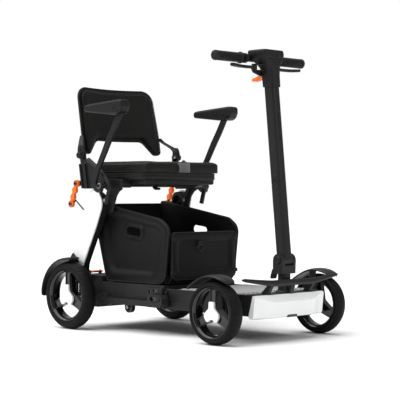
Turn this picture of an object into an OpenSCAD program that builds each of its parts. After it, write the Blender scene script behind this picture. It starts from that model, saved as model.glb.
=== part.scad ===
// Folding four-wheel mobility scooter with a storage bin under the seat.
// X points forward, Y to the rider's left, Z up. The ground is Z = 0.
// Places along X are measured from the rear axle, then the whole is centred.

/* [Wheels] */
// Rear tyre's outer diameter
rear_tyre_d = 233; // [225:1:240]
// Front tyre's outer diameter
front_tyre_d = 201; // [196:1:206]
// Tyre's width
tyre_w = 50; // [44:1:52]
// Distance between the two axles
wheelbase = 704; // [700:1:710]
// Distance between the wheels' middle planes
track = 498; // [496:1:504]

/* [Base] */
// Half of the base's width
base_half_w = 170; // [168:1:171]
// Top of the base lid, where the bin stands
lid_top = 164; // [162:1:166]
// Top of the foot deck
deck_top = 157; // [155:1:160]
// Number of ribs on the foot deck
deck_ribs = 15; // [8:1:20]
// Wall of the moulded base shells
shell_wall = 4; // [3:0.5:5]

/* [Seat] */
// Top of the seat cushion
cushion_top = 580; // [575:1:590]
// Cushion's thickness
cushion_t = 40; // [36:1:42]
// Half of the seat's width
seat_half_w = 184; // [176:1:184]
// Top of the backrest
back_top = 852; // [836:1:866]
// Half of the backrest's width
back_half_w = 184; // [178:1:184]

/* [Bin] */
// Distance of the bin's side panels' outer faces from the middle
bin_half_w = 163; // [158:1:164]
// Thickness of the bin's moulded panels
panel_t = 7; // [5:1:9]

/* [Tiller] */
// Backward lean of the tiller column in degrees
tiller_lean = 5.6; // [4:0.1:7]
// Handlebar tube's radius
bar_r = 11; // [10:0.5:12]
// Length of each grip
grip_l = 121; // [110:1:122]

/* [Hidden] */
$fn = 48;

x_mid = 340;                       // middle of the whole length, from the rear axle
rear_r = rear_tyre_d / 2;
front_r = front_tyre_d / 2;
wheel_y = track / 2;
rear_bead_r = rear_r - 29;
front_bead_r = front_r - 21;
pin_gap = 0.05;                    // radial play of every turning pin

frame_pivot = [0, 165];            // X and Z of the uprights' foot pivot
seat_pivot = [128, 446];           // X and Z where the seat levels on the uprights
back_pivot = [34, 602];            // X and Z of the backrest hinge
back_lean = 11.3;                  // backward lean of the backrest in degrees
back_curve = 750;                  // radius the backrest is curved to, round the rider's back
arm_pivot = [163, 495];            // X and Z of the armrest hinge
kingpin = [wheelbase, 195];        // X and Y of the front wheels' steering pins
strut_top = [262, 741];            // wider upper end of the armrest strut
strut_low = [208, 652];
strap_top = [13, 504];
strap_low = [-15, 433.5];
steer_x = 767;                     // X of the vertical steering axis
fold_pivot = [768, 257];           // X and Z of the tiller's fold
pedal_pivot = [-44, 191];
lock_pivot = [740, 228];
release_pivot = [694, 851];
roller_at = [205, 82];

upright_in = 187;                  // Y layers, from the middle outwards
upright_out = 209;
cover_out = 215;
bracket_in = 219;
bracket_out = 236;
strut_in = 245.5;
pad_in = 241;

// ---------- shared shapes ----------

module placed() translate([-x_mid, 0, 0]) children();

// a thing drawn on the left side (+Y), or its mirror on the right
module on_side(side) {
    if (side == "left") children();
    else mirror([0, 1, 0]) children();
}

module both_sides() {
    children();
    mirror([0, 1, 0]) children();
}

// an XZ outline as a plate from Y = y0 to y1
module plate_y(y0, y1) translate([0, y1, 0]) rotate([90, 0, 0]) linear_extrude(y1 - y0) children();

// a YZ outline as a plate from X = x0 to x1
module plate_x(x0, x1) translate([x0, 0, 0]) rotate([90, 0, 90]) linear_extrude(x1 - x0) children();

// a rod along Y through the point p in XZ
module rod_y(p, y0, y1, r) translate([p[0], y0, p[1]]) rotate([-90, 0, 0]) cylinder(h = y1 - y0, r = r);

module box_to(a, b) translate(a) cube(b - a);

// a bar of constant width with round ends between two points
module link_2d(p, q, w) {
    along = (q - p) / norm(q - p);
    out = [-along[1], along[0]] * w / 2;
    translate(p) circle(w / 2);
    translate(q) circle(w / 2);
    polygon([p + out, q + out, q - out, p - out]);
}

module bar_2d(points, w) for (i = [0:len(points) - 2]) link_2d(points[i], points[i + 1], w);

// a rectangle with round corners, from low corner a to high corner b
module round_rect(a, b, r) {
    translate([a[0] + r, a[1]]) square([b[0] - a[0] - 2 * r, b[1] - a[1]]);
    translate([a[0], a[1] + r]) square([b[0] - a[0], b[1] - a[1] - 2 * r]);
    for (x = [a[0] + r, b[0] - r], y = [a[1] + r, b[1] - r]) translate([x, y]) circle(r);
}

// points along a circle's arc, from angle t0 to t1
function arc(c, r, t0, t1, n = 10) = [for (i = [0:n]) let (t = t0 + (t1 - t0) * i / n)
    c + r * [cos(t), sin(t)]];

// a curved strip of thickness t along an arc in XZ, such as a fender's skin
module strip_2d(c, r, t, t0, t1, n = 24)
    polygon(concat(arc(c, r, t0, t1, n), arc(c, r - t, t1, t0, n)));

// ---------- base ----------

function shell_2d(i) = [
    [-50 + i, 86], [-38, 74 + i], [56 - i / 2, 74 + i], [72 - i / 2, 90 + i], [375, 90 + i],
        [387 - i, 102]
];

module base_shell() color("DimGray") placed() {
    difference() {
        union() {
            plate_y(-base_half_w, base_half_w)
                polygon(concat(shell_2d(0), [[387, lid_top - 6], [72, lid_top - 6], [72, 178],
                    [-50, 178]]));
            both_sides() rod_y(frame_pivot, base_half_w - 1, upright_in - 0.5, 12);
        }
        difference() {
            plate_y(-base_half_w + shell_wall, base_half_w - shell_wall)
                polygon(concat(shell_2d(shell_wall), [[387 - shell_wall, 200],
                    [-50 + shell_wall, 200]]));
            both_sides() box_to([172, 140, 80], [238, 180, 112]);
        }
        both_sides() {
            rod_y(frame_pivot, 100, 200, 8);
            rod_y([0, rear_r], 100, 200, 9.5);
            box_to([176, 144, 80], [234, 180, 108]);
            rod_y(roller_at, 139, 180, 4);
        }
    }
    // roller brackets hang from the pocket's inner wall
    both_sides() difference() {
        plate_y(140, 144) link_2d([205, 96], roller_at, 18);
        rod_y(roller_at, 139, 145, 4);
    }
}

module base_lid() color("Gray") placed() {
    top = lid_top + 20;
    plate_y(-base_half_w, base_half_w) polygon([
        [-50, 178], [-50, top - 2], [-46, top], [66, top], [72, top - 4], [76, lid_top],
        [385, lid_top], [387, lid_top - 2], [387, lid_top - 6], [72, lid_top - 6], [72, 178]
    ]);
    // lugs that hold the release pedal
    for (y = [-128, -79]) difference() {
        plate_y(y, y + 5) union() {
            translate(pedal_pivot) circle(6);
            translate([pedal_pivot[0] - 6, top - 1]) square([12, pedal_pivot[1] - top + 1]);
        }
        rod_y(pedal_pivot, y - 1, y + 6, 2.5);
    }
    rod_y(pedal_pivot, -128, -74, 2.5);
}

module battery_pack() color("DarkSlateGray") placed() {
    translate([0, 0, 97]) linear_extrude(50) round_rect([84, -128], [250, 128], 10);
    for (y = [-60, 60]) box_to([120, y - 20, 147], [200, y + 20, 152]);
}

module controller() color("Silver") placed() {
    translate([0, 0, 97]) linear_extrude(24) round_rect([262, -62], [360, 62], 6);
    for (i = [0:8]) box_to([266 + i * 11, -56, 121], [269 + i * 11, 56, 136]);
}

module rear_motors() color("Silver") placed() both_sides() {
    at = [0, rear_r];
    rod_y(at, 34, 140, 36);
    rod_y(at, 140, 165.5, 28);
    rod_y(at, 165.5, 263.5, 9);
    rod_y(at, 263.5, 266.5, 13);
}

module base_pins() color("Silver") placed() both_sides() {
    rod_y(frame_pivot, 150, upright_out - 0.5, 8);
    rod_y(roller_at, 139, 168, 4);
    rod_y(roller_at, 168, 171, 6.5);
}

module rail_2d() {
    polygon([[56, 91], [96, 126], [108, 129], [122, 123], [130, 112], [345, 112], [345, 93],
        [150, 92], [120, 84], [84, 80], [60, 84]]);
    translate([108, 117]) circle(12);
}

module side_rails() color("DimGray") placed() both_sides() {
    difference() {
        plate_y(base_half_w + 4, 196) rail_2d();
        rod_y([110, 117], 190, 200, 4);
        box_to([180, base_half_w + 3, 80], [230, 188, 104]);
    }
    for (x = [140, 300]) rod_y([x, 102], base_half_w, base_half_w + 5, 8);
    // end block that carries the charging socket
    difference() {
        plate_y(base_half_w, 204) polygon([[342, 93], [342, 128], [350, 134], [404, 134],
            [412, 122], [412, 104], [402, 93]]);
        plate_y(194, 206) translate([379, 0]) round_rect([-24, 112], [24, 128], 7.5);
    }
}

module charge_port() color("DarkSlateGray") placed() both_sides() {
    difference() {
        plate_y(194, 201) translate([379, 0]) round_rect([-23, 113], [23, 127], 6.5);
        rod_y([388, 120], 197, 205, 5);
        box_to([362, 198, 117], [376, 205, 123]);
    }
    rod_y([388, 120], 197, 200, 2.4);
}

module rear_fenders() color("DimGray") placed() both_sides() {
    c = [0, rear_r];
    difference() {
        plate_y(219, 279) strip_2d(c, 132, 12, 82, 183);
        rod_y(c, 222, 280, 128.5);
    }
    // fin beside the upright's foot, and an arm to the base
    plate_y(216.5, 220.5) polygon([[-44, 228], [-42, 240], [-23, 262], [4, 240], [8, 230]]);
    plate_y(base_half_w + 1, 220.5) strip_2d(c, 131, 6, 118, 140, 4);
    plate_y(base_half_w, base_half_w + 6) polygon([[-50, 120], [-50, 176], [-62, 227],
        [-100, 200], [-84, 160], [-56, 118]]);
}

// ---------- front ----------

module front_chassis() color("Gray") placed() difference() {
    union() {
        plate_y(-165, 165) polygon([[387, 92], [387, 150], [783, 150], [766, 86.5], [400, 86.5]]);
        for (z = [76, 136]) both_sides() translate([0, 0, z]) linear_extrude(z == 76 ? 12 : 14) {
            translate([kingpin[0] - 14, 150]) square([28, kingpin[1] - 150]);
            translate(kingpin) circle(14);
        }
    }
    difference() {
        union() {
            plate_y(-161, 161) polygon([[391, 90.5], [391, 160], [779, 160], [761, 90.5]]);
            // windows for the steering arms
            both_sides() box_to([628, 150, 99], [728, 170, 128]);
        }
        // bearing block of the steering stem, and the deck's cross beams
        plate_y(-45, 45) polygon([[738, 124], [738, 160], [790, 160], [772, 124]]);
        for (x = [420, 520, 600]) box_to([x, -161, 128], [x + 16, 161, 150]);
    }
    box_to([380, -170, 150], [800, 170, 170]);
    translate([steer_x, 0, 80]) cylinder(h = 90, r = 14 + pin_gap);
    both_sides() translate([kingpin[0], kingpin[1], 60]) cylinder(h = 110, r = 6 + pin_gap);
}

module deck_plate() color("LightGray") placed() {
    box_to([440, -158, 150], [738, 158, deck_top - 3]);
    for (i = [0:deck_ribs - 1]) {
        y = -147 + 294 * i / (deck_ribs - 1);
        box_to([455, y - 5, deck_top - 3], [728, y + 5, deck_top]);
    }
}

module front_cover() color("WhiteSmoke") placed() {
    // faces turn back towards the sides from the middle third
    difference() {
        plate_y(-162, 162) polygon([[784, 150], [788, 153], [797, 150], [808, 129], [797, 78],
            [772, 76], [769, 84]]);
        both_sides() translate([0, 0, 60]) linear_extrude(110)
            polygon([[809, 92], [815, 92], [815, 170], [786, 170], [790, 162]]);
        box_to([796, -24, 76], [800, 24, 84]);
        // clearance round the steering stem and its collar
        translate([steer_x, 0, 70]) cylinder(h = 90, r = 15);
        translate([steer_x, 0, 150.5]) cylinder(h = 10, r = 20.5);
    }
    both_sides() plate_y(162, 166) polygon([[766, 84], [783.5, 150], [789, 150], [790, 128],
        [784, 80], [772, 76]]);
}

module bumper() color("DimGray") placed() {
    // the wing runs out from the middle and sweeps up and back at its ends
    both_sides() {
        hull() {
            box_to([802, 0, 180], [812, 1, 196]);
            box_to([802, 99, 180], [812, 101, 197]);
        }
        hull() {
            box_to([802, 99, 180], [812, 101, 197]);
            box_to([794, 226, 197], [802, 229, 211]);
        }
        plate_y(92, 108) polygon([[766, 150], [766, 154], [802, 194], [811, 194], [811, 184],
            [790, 155], [783.5, 150]]);
    }
    plate_y(-9, 9) polygon([[790, 152.4], [804, 190], [811, 190], [811, 183], [797, 150.1]]);
}

// ---------- bin ----------

// outline of a bin side panel, in XZ: the top runs down to a rounded front corner
bin_side = concat([[97, 168], [352, 168]], arc([352, 202], 34, -80, 0, 5), [[402, 300]],
                  arc([366, 340], 44, 5, 80, 6), [[40, 443], [22, 441], [20, 432], [56, 303]]);

module bin_side_panel() plate_y(bin_half_w - panel_t, bin_half_w) difference() {
    polygon(bin_side);
    translate([230, 340]) rotate(-7) round_rect([-36, -15], [36, 15], 14);
}

module bin_side_right() color("DarkSlateGray") placed() on_side("right") bin_side_panel();
module bin_side_left() color("DarkSlateGray") placed() on_side("left") bin_side_panel();

// one band makes the bin's front, floor and back, between the two side panels
module bin_band() color("SlateGray") placed() {
    half = bin_half_w - panel_t - 0.5;
    box_to([104, -half, 168], [396, half, 168 + panel_t]);
    plate_y(-half, half) polygon([[396, 168], [398, 168], [410, 190], [410, 336], [404, 345],
        [398, 336], [398, 192], [388, 175]]);
    plate_y(-half, half) polygon([[99, 170], [106, 175], [68, 303], [33, 430], [25, 430], [60, 303]]);
}

// ---------- pedal and rollers ----------

module release_pedal() color("OrangeRed") placed() difference() {
    union() {
        rod_y(pedal_pivot, -122.5, -79.5, 4.5);
        plate_y(-122.5, -79.5) polygon([[-88, 186], [-84, 190], [-26, 194], [-22, 191],
            [-22, 188], [-50, 187], [-84, 183]]);
    }
    rod_y(pedal_pivot, -130, -70, 2.5 + pin_gap);
}

module rollers() color("DarkSlateGray") placed() both_sides() rod_ring(roller_at, 147, 165, 19,
    4 + pin_gap);

module rod_ring(p, y0, y1, r, bore) difference() {
    rod_y(p, y0, y1, r);
    rod_y(p, y0 - 1, y1 + 1, bore);
}

// ---------- seat tower ----------

module uprights() color("DimGray") placed() {
    both_sides() difference() {
        plate_y(upright_in, upright_out) {
            translate(frame_pivot) circle(26);
            translate(seat_pivot) circle(18);
            polygon([[-26, 165], [-36, 236], [-22, 270], [10, 354], [53, 440], [60, 466],
                [70, 474], [92, 477], [118, 462],
                     [124, 436], [117, 401], [24, 221], [25, 160]]);
        }
        plate_y(upright_in - 1, upright_in + 15)
            polygon([[-4, 290], [24, 354], [62, 432], [70, 462], [90, 464], [108, 446],
                [104, 412], [84, 364], [48, 290]]);
        rod_y(frame_pivot, 180, 215, 8 + pin_gap);
        rod_y(seat_pivot, 180, 215, 6 + pin_gap);
    }
    rod_y([36, 330], -upright_in - 16, upright_in + 16, 10);
}

module side_cover() plate_y(upright_out, cover_out) polygon([
    [-42, 224], [-25.5, 270], [7, 354], [50.5, 440], [56, 464], [64, 477], [76, 484], [93, 482],
        [110, 470],
    [121, 453], [125.5, 436], [123, 419], [99, 364], [24, 216]
]);

module side_cover_right() color("WhiteSmoke") placed() on_side("right") side_cover();
module side_cover_left() color("WhiteSmoke") placed() on_side("left") side_cover();

// seat outline in XY up to the front edge, drawn in by the inset i
module seat_2d(front, half, r, i = 0) {
    round_rect([32 + i, -half + i], [240, half - i], 22 - i);
    round_rect([80, -half + i], [front - i, half - i], r - i);
}

module seat_pan() color("DimGray") placed() {
    base = cushion_top - cushion_t;
    difference() {
        translate([0, 0, 518]) linear_extrude(base - 518) seat_2d(301, seat_half_w - 6, 34);
        translate([0, 0, 517]) linear_extrude(base - 4 - 517) seat_2d(301, seat_half_w - 6, 34, 5);
    }
    // rails and cross bars under the pan
    for (y = [-120, 92]) box_to([60, y, 492], [290, y + 28, base - 4]);
    for (x = [60, 262]) box_to([x, -166, 500], [x + 28, 166, base - 4]);
    plate_y(-8, 8) bar_2d([[160, base - 4], [162, 492], [180, 486]], 9);
    box_to([148, -100, 518], [176, 100, base - 4]);
}

// the notch in the cushion's front edge takes the folded tiller
module seat_cushion() color("DarkSlateGray") placed() difference() {
    translate([0, 0, cushion_top - cushion_t + 0.3]) linear_extrude(cushion_t - 0.3)
        seat_2d(318, seat_half_w, 24);
    box_to([276, -27, cushion_top - cushion_t - 1], [320, 27, cushion_top + 1]);
}

module seat_brackets() color("Silver") placed() both_sides() {
    rim = [[72, 585], [130, 549], [160, 522], [178, 500], [181, 486], [174, 462], [166, 434]];
    difference() {
        union() {
            plate_y(bracket_in, bracket_in + 5) {
                polygon([[38, 486], [18, 600], [50, 600], [54, 576], [72, 585], [130, 549],
                    [160, 522], [178, 500], [181, 486]]);
                translate(back_pivot) circle(16);
                translate(arm_pivot) circle(14);
            }
            plate_y(bracket_in, bracket_out) bar_2d(rim, 9);
            // ribs along the rear post
            for (x = [36, 56]) plate_y(bracket_in, 231) polygon([[x, 488], [x + 15, 488],
                [x, 572], [x - 15, 572]]);
            // peg of the side strap
            rod_y(strap_top, bracket_in + 1, 226, 10);
            plate_y(bracket_in + 1, bracket_in + 5) link_2d(strap_top, [48, 508], 18);
            // block that carries the seat pan
            box_to([146, seat_half_w - 30, 489], [211, 200, 518]);
            box_to([146, 196, 489], [178, bracket_in + 5, 518]);
            // inner cheek of the seat pivot
            plate_y(176, 184) {
                translate(seat_pivot) circle(17);
                polygon([[111, 446], [140, 489], [202, 489], [176, 476], [162, 460], [153, 436],
                    [147, 404], [121, 404]]);
            }
        }
        rod_y(seat_pivot, 170, 190, 6);
        rod_y(back_pivot, 200, 240, 5);
        rod_y(arm_pivot, 200, 240, 5);
    }
}

module seat_bolts() color("Silver") placed() both_sides() {
    rod_y(seat_pivot, 176, upright_out - 0.5, 6);
    rod_y(back_pivot, bracket_in, 240, 5);
    rod_y(arm_pivot, bracket_in, 258.5, 5);
    rod_y(arm_pivot, 258.5, 262, 9);
    for (p = [strap_top, strap_low]) rod_y(p, 238, 241, 7);
}

// a wavy rubber strap with a round end at each screw
module side_straps() color("OrangeRed") placed() both_sides() plate_y(226, 238) {
    for (p = [strap_top, strap_low]) translate(p) circle(13);
    for (i = [1:4]) translate(strap_top + (strap_low - strap_top) * i / 5) circle(11);
    link_2d(strap_top, strap_low, 15);
}

// ---------- backrest ----------

// the backrest's own frame: +Z runs up the leaning back, +X faces forward
module in_backrest() translate([8, 0, 620]) rotate([0, -back_lean, 0]) children();

// outline of the backrest, seen from the front: side lobes reach lower than the middle
module back_2d(grow) {
    half = back_half_w + grow;
    top = (back_top - 620) / cos(back_lean) + grow;
    polygon(concat(
        arc([half - 46, top - 46], 46, 0, 90, 8), arc([-half + 46, top - 46], 46, 90, 180, 8),
        arc([-half + 20, 13], 20, 180, 292, 6), [[-112, 39 - grow], [-98, 45 - grow]],
        [[98, 45 - grow], [112, 39 - grow]], arc([half - 20, 13], 20, 248, 360, 6)
    ));
}

// a curved layer between two radii, cut to an outline given as a child
module back_layer(r0, r1) intersection() {
    plate_x(-60, 30) children();
    translate([back_curve - 22, 0, -30]) difference() {
        cylinder(h = 320, r = r1, $fn = 240);
        translate([0, 0, -1]) cylinder(h = 322, r = r0, $fn = 240);
    }
}

module backrest_shell() color("DimGray") placed() in_backrest() difference() {
    back_layer(back_curve + 13, back_curve + 25) back_2d(0);
    back_layer(back_curve + 19, back_curve + 30) polygon([[-140, 75], [-140, 205], [140, 205],
        [140, 75]]);
}

module backrest_pad() color("DarkSlateGray") placed() in_backrest()
    back_layer(back_curve, back_curve + 12.7) back_2d(-3);

// arms reach up and inwards from the hinge to the shell's side edges
module backrest_arms() color("Silver") placed() both_sides() difference() {
    union() {
        plate_y(224.5, 232) {
            translate(back_pivot) circle(15);
            polygon([[19, 600], [15, 616], [17, 628], [46, 628], [49, 600]]);
        }
        hull() {
            box_to([17, 224.5, 624], [46, 232, 628]);
            box_to([-22, back_half_w, 650], [-4, back_half_w + 6, 670]);
        }
    }
    rod_y(back_pivot, 220, 240, 5 + pin_gap);
}

// ---------- armrests ----------

module arm_strut() difference() {
    union() {
        plate_y(strut_in, strut_in + 12) {
            bar_2d([[262, 741], [204, 645.5], [149, 553], [134, 514], [134, 496], [145, 483],
                [163, 483]], 19);
            link_2d(strut_top, strut_low, 24);
        }
        rod_y(arm_pivot, strut_in, strut_in + 12, 12);
    }
    rod_y(arm_pivot, 240, 262, 5 + pin_gap);
}

module arm_strut_right() color("Silver") placed() on_side("right") arm_strut();
module arm_strut_left() color("Silver") placed() on_side("left") arm_strut();

module arm_pad() difference() {
    union() {
        plate_y(pad_in, 282)
            polygon([[120, 746.5], [120, 769.5], [284, 780.5], [299, 766], [294, 744], [277, 732],
                [232, 733]]);
        rod_y([120, 758], pad_in, 282, 11.5);
        rod_y([286, 766], pad_in, 282, 14.5);
    }
    // slot that takes the strut's upper end
    plate_y(strut_in, strut_in + 12) union() {
        link_2d(strut_top, strut_low, 24);
    }
}

module arm_pad_right() color("DimGray") placed() on_side("right") arm_pad();
module arm_pad_left() color("DimGray") placed() on_side("left") arm_pad();

// ---------- steering ----------

module steer_stem() color("DimGray") placed() {
    translate([steer_x, 0, 98]) cylinder(h = 60, r = 14);
    translate([steer_x, 0, 151]) cylinder(h = 70, r = 20);
    // fork of the fold knuckle
    difference() {
        plate_y(-32, 32) {
            polygon([[747, 214], [747, 257], [789, 257], [787, 214]]);
            translate(fold_pivot) circle(20.5);
        }
        plate_y(-20.5, 20.5) {
            translate(fold_pivot) circle(21.5);
            polygon([[740, 240], [740, 290], [800, 290], [800, 240]]);
        }
    }
    rod_y(fold_pivot, -32, 32, 8);
    // pitman arm and its pin
    translate([0, 0, 113]) linear_extrude(8) link_2d([steer_x, 0], [steer_x - 34, 0], 20);
    translate([steer_x - 34, 0, 103]) cylinder(h = 12, r = 4);
    // lugs and pin of the lock lever
    for (y = [-17, 11]) plate_y(y, y + 6) link_2d(lock_pivot, [756, 226], 10);
    rod_y(lock_pivot, -12, 12, 2.5);
}

// a slot that gives a ball pin its play
module eye_slot(x0, x1, y) translate([0, 0, 100]) linear_extrude(16) link_2d([x0, y], [x1, y], 10.8);

module steering_link() color("Silver") placed() difference() {
    translate([0, 0, 104]) {
        translate([638, -190, 0]) cube([16, 380, 8]);
        translate([640, -11, 0]) cube([108, 22, 8]);
        for (s = [-1, 1], x = [643, 650]) translate([x, s * 195, 0]) cylinder(h = 8, r = 10);
    }
    for (s = [-1, 1]) eye_slot(644, 650, s * 195);
    eye_slot(732, 741, 0);
}

module knuckle() {
    translate([kingpin[0], kingpin[1], 72]) cylinder(h = 80, r = 6);
    translate([kingpin[0], kingpin[1], 88.5]) cylinder(h = 47, r = 14);
    rod_y([wheelbase, front_r], kingpin[1], 263.5, 8);
    rod_y([wheelbase, front_r], 263.5, 266.5, 12);
    translate([0, 0, 113]) linear_extrude(8) link_2d(kingpin, kingpin - [59, 0], 16);
    translate([kingpin[0] - 59, kingpin[1], 103]) cylinder(h = 12, r = 4);
    // stay that carries the fender
    plate_y(213, 219) polygon([[692, 92], [692, 214], [716, 214], [716, 92]]);
    rod_y([wheelbase, front_r], 213, 220, 13);
}

module knuckle_right() color("Gray") placed() on_side("right") knuckle();
module knuckle_left() color("Gray") placed() on_side("left") knuckle();

module front_fender() {
    c = [wheelbase, front_r];
    difference() {
        plate_y(219, 279)
            polygon(concat(arc(c, 119.5, 57, 130, 24), [[598, 171],
                [592, 168]], arc(c, 108.5, 130, 57, 24)));
        rod_y(c, 222, 280, 116.5);
    }
}

module front_fender_right() color("DimGray") placed() on_side("right") front_fender();
module front_fender_left() color("DimGray") placed() on_side("left") front_fender();

// ---------- tiller ----------

// the column's own frame: origin at the fold, +Z up the leaning column, +X forward
module along_tiller() translate([fold_pivot[0], 0, fold_pivot[1]]) rotate([0, -tiller_lean, 0])
    children();

// opening in the back of the column and head, where the release lever sits
module lever_mouth() plate_y(-13, 13)
    polygon([[640, 825], [640, 868], [696, 868], [703, 858], [704, 840], [694, 825]]);

module tiller_column() color("DimGray") placed() difference() {
    along_tiller() union() {
        rotate([-90, 0, 0]) translate([0, 0, -20]) cylinder(h = 40, r = 20.5);
        translate([0, 0, 2]) linear_extrude(640) round_rect([-21, -19], [21, 19], 12);
    }
    along_tiller() translate([0, 0, 28]) linear_extrude(620) round_rect([-18, -16], [18, 16], 9);
    rod_y(fold_pivot, -30, 30, 8 + pin_gap);
    lever_mouth();
}

module tiller_head() color("DimGray") placed() difference() {
    union() {
        // lugs and pins of the two throttle levers
        both_sides() for (z = [862.5, 881.5]) translate([0, 0, z]) linear_extrude(4) link_2d([692,
            34], [688, 56], 18);
        both_sides() translate([688, 56, 862.5]) cylinder(h = 22, r = 3);
        hull() {
            translate([688, 0, 905]) cube([64, 100, 40], center = true);
            translate([690, 0, 922]) cube([70, 96, 18], center = true);
            along_tiller() translate([-5, 0, 610]) cylinder(h = 10, r = 26, $fn = 32);
        }
        along_tiller() translate([0, 0, 560]) linear_extrude(60) round_rect([-26, -23], [25, 23], 14);
    }
    rod_y([660, 905], -80, 80, bar_r);
    along_tiller() translate([0, 0, 500]) linear_extrude(142) round_rect([-21, -19], [21, 19], 12);
    translate([650, -40, 916]) cube([40, 80, 30]);
    lever_mouth();
}

module handlebar() color("Silver") placed() rod_y([660, 905], -205, 205, bar_r);

module grips() color("DarkSlateGray") placed() both_sides() difference() {
    union() {
        rod_y([660, 905], 90, 90 + grip_l, 15.5);
        rod_y([660, 905], 90, 95, 18);
    }
    rod_y([660, 905], 80, 205, bar_r);
}

module display() color("Black") placed() {
    translate([652, -38, 917]) cube([36, 76, 8]);
    translate([670, -16, 925]) cylinder(h = 6, r = 11);
    for (y = [8, 24]) translate([670, y, 925]) cylinder(h = 3, r = 5);
}

// a flat finger lever under a grip; it swings about a pin at its root
module throttle() difference() {
    union() {
        translate([688, 56, 868]) cylinder(h = 12, r = 9);
        translate([0, 0, 870]) linear_extrude(9) {
            bar_2d([[688, 56], [682, 84], [684, 120], [690, 156]], 15);
            translate([690, 150]) circle(11);
        }
    }
    translate([688, 56, 860]) cylinder(h = 30, r = 3 + pin_gap);
}

module throttle_right() color("Gray") placed() on_side("right") throttle();
module throttle_left() color("Gray") placed() on_side("left") throttle();

module release_lever() color("OrangeRed") placed() difference() {
    union() {
        rod_y(release_pivot, -12, 12, 7);
        plate_y(-12, 12) bar_2d([release_pivot, [676, 850], [652, 843]], 10);
    }
    rod_y(release_pivot, -15, 15, 3 + pin_gap);
}

module lock_lever() color("DimGray") placed() difference() {
    union() {
        rod_y(lock_pivot, -10.5, 10.5, 6);
        plate_y(-10.5, 10.5) bar_2d([lock_pivot, [728, 222], [721, 200]], 9);
    }
    rod_y(lock_pivot, -20, 20, 2.5 + pin_gap);
}

// ---------- wheels ----------

// a wheel's part in its own frame: the axle is Z, +Z points away from the scooter
module wheel_at(x, r, side) placed() on_side(side)
    translate([x, wheel_y, r]) rotate([-90, 0, 0]) children();

module tyre(r, bead) rotate_extrude($fn = 96) {
    half = tyre_w / 2;
    polygon(concat([[bead, -half + 8], [bead + 4, -half + 2], [r - 14, -half]],
                   [for (t = [-75:15:75]) [r - 14 + 14 * cos(t), (half - 3) * sin(t) / sin(75)]],
                   [[r - 14, half], [bead + 4, half - 2], [bead, half - 8]]));
}

module rim(bead, bore) {
    rotate_extrude($fn = 96) polygon([[bead - 7, -15], [bead - 0.2, -17], [bead - 0.2, 17],
        [bead - 7, 15]]);
    difference() {
        union() {
            translate([0, 0, -15]) cylinder(h = 29, r = 24);
            for (a = [90, 210, 330]) rotate(a) translate([10, -17, -8]) cube([bead - 15, 34, 18]);
        }
        translate([0, 0, -20]) cylinder(h = 40, r = bore + pin_gap);
    }
}

// Y-shaped hub cover that follows the spokes
module hub_cap(bead) {
    difference() {
        translate([0, 0, 10]) linear_extrude(12) {
            circle(22);
            for (a = [90, 210, 330]) rotate(a)
                polygon([[0, -14], [bead * 0.5, -9], [bead * 0.55, 0], [bead * 0.5, 9], [0, 14]]);
        }
        translate([0, 0, 9]) cylinder(h = 10, r = 18);
        translate([0, 0, 9]) cylinder(h = 5.2, r = 24.2);
    }
}

module rear_tyre_right() color("Black") wheel_at(0, rear_r, "right") tyre(rear_r, rear_bead_r);
module rear_tyre_left() color("Black") wheel_at(0, rear_r, "left") tyre(rear_r, rear_bead_r);
module rear_rim_right() color("DimGray") wheel_at(0, rear_r, "right") rim(rear_bead_r, 9);
module rear_rim_left() color("DimGray") wheel_at(0, rear_r, "left") rim(rear_bead_r, 9);
module rear_cap_right() color("WhiteSmoke") wheel_at(0, rear_r, "right") hub_cap(rear_bead_r);
module rear_cap_left() color("WhiteSmoke") wheel_at(0, rear_r, "left") hub_cap(rear_bead_r);

module front_tyre_right() color("Black") wheel_at(wheelbase, front_r, "right") tyre(front_r,
    front_bead_r);
module front_tyre_left() color("Black") wheel_at(wheelbase, front_r, "left") tyre(front_r,
    front_bead_r);
module front_rim_right() color("DimGray") wheel_at(wheelbase, front_r, "right") rim(front_bead_r, 8);
module front_rim_left() color("DimGray") wheel_at(wheelbase, front_r, "left") rim(front_bead_r, 8);
module front_cap_right() color("WhiteSmoke") wheel_at(wheelbase, front_r, "right")
    hub_cap(front_bead_r);
module front_cap_left() color("WhiteSmoke") wheel_at(wheelbase, front_r, "left") hub_cap(front_bead_r);

base_shell();
base_lid();
front_chassis();
deck_plate();
front_cover();
bumper();
rear_fenders();
side_rails();
battery_pack();
controller();
charge_port();
rear_motors();
base_pins();
bin_side_right();
bin_side_left();
bin_band();
release_pedal();
rollers();
uprights();
side_cover_right();
side_cover_left();
seat_pan();
seat_cushion();
seat_brackets();
seat_bolts();
side_straps();
backrest_shell();
backrest_pad();
backrest_arms();
arm_strut_right();
arm_strut_left();
arm_pad_right();
arm_pad_left();
steer_stem();
steering_link();
knuckle_right();
knuckle_left();
front_fender_right();
front_fender_left();
tiller_column();
tiller_head();
handlebar();
grips();
display();
throttle_right();
throttle_left();
release_lever();
lock_lever();
rear_tyre_right();
rear_rim_right();
rear_cap_right();
rear_tyre_left();
rear_rim_left();
rear_cap_left();
front_tyre_right();
front_rim_right();
front_cap_right();
front_tyre_left();
front_rim_left();
front_cap_left();
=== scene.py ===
from math import atan2, cos, exp, pi, radians, sin, sqrt, tan
import bmesh
import bpy
from mathutils import Matrix, Vector
from mathutils.bvhtree import BVHTree


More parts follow.
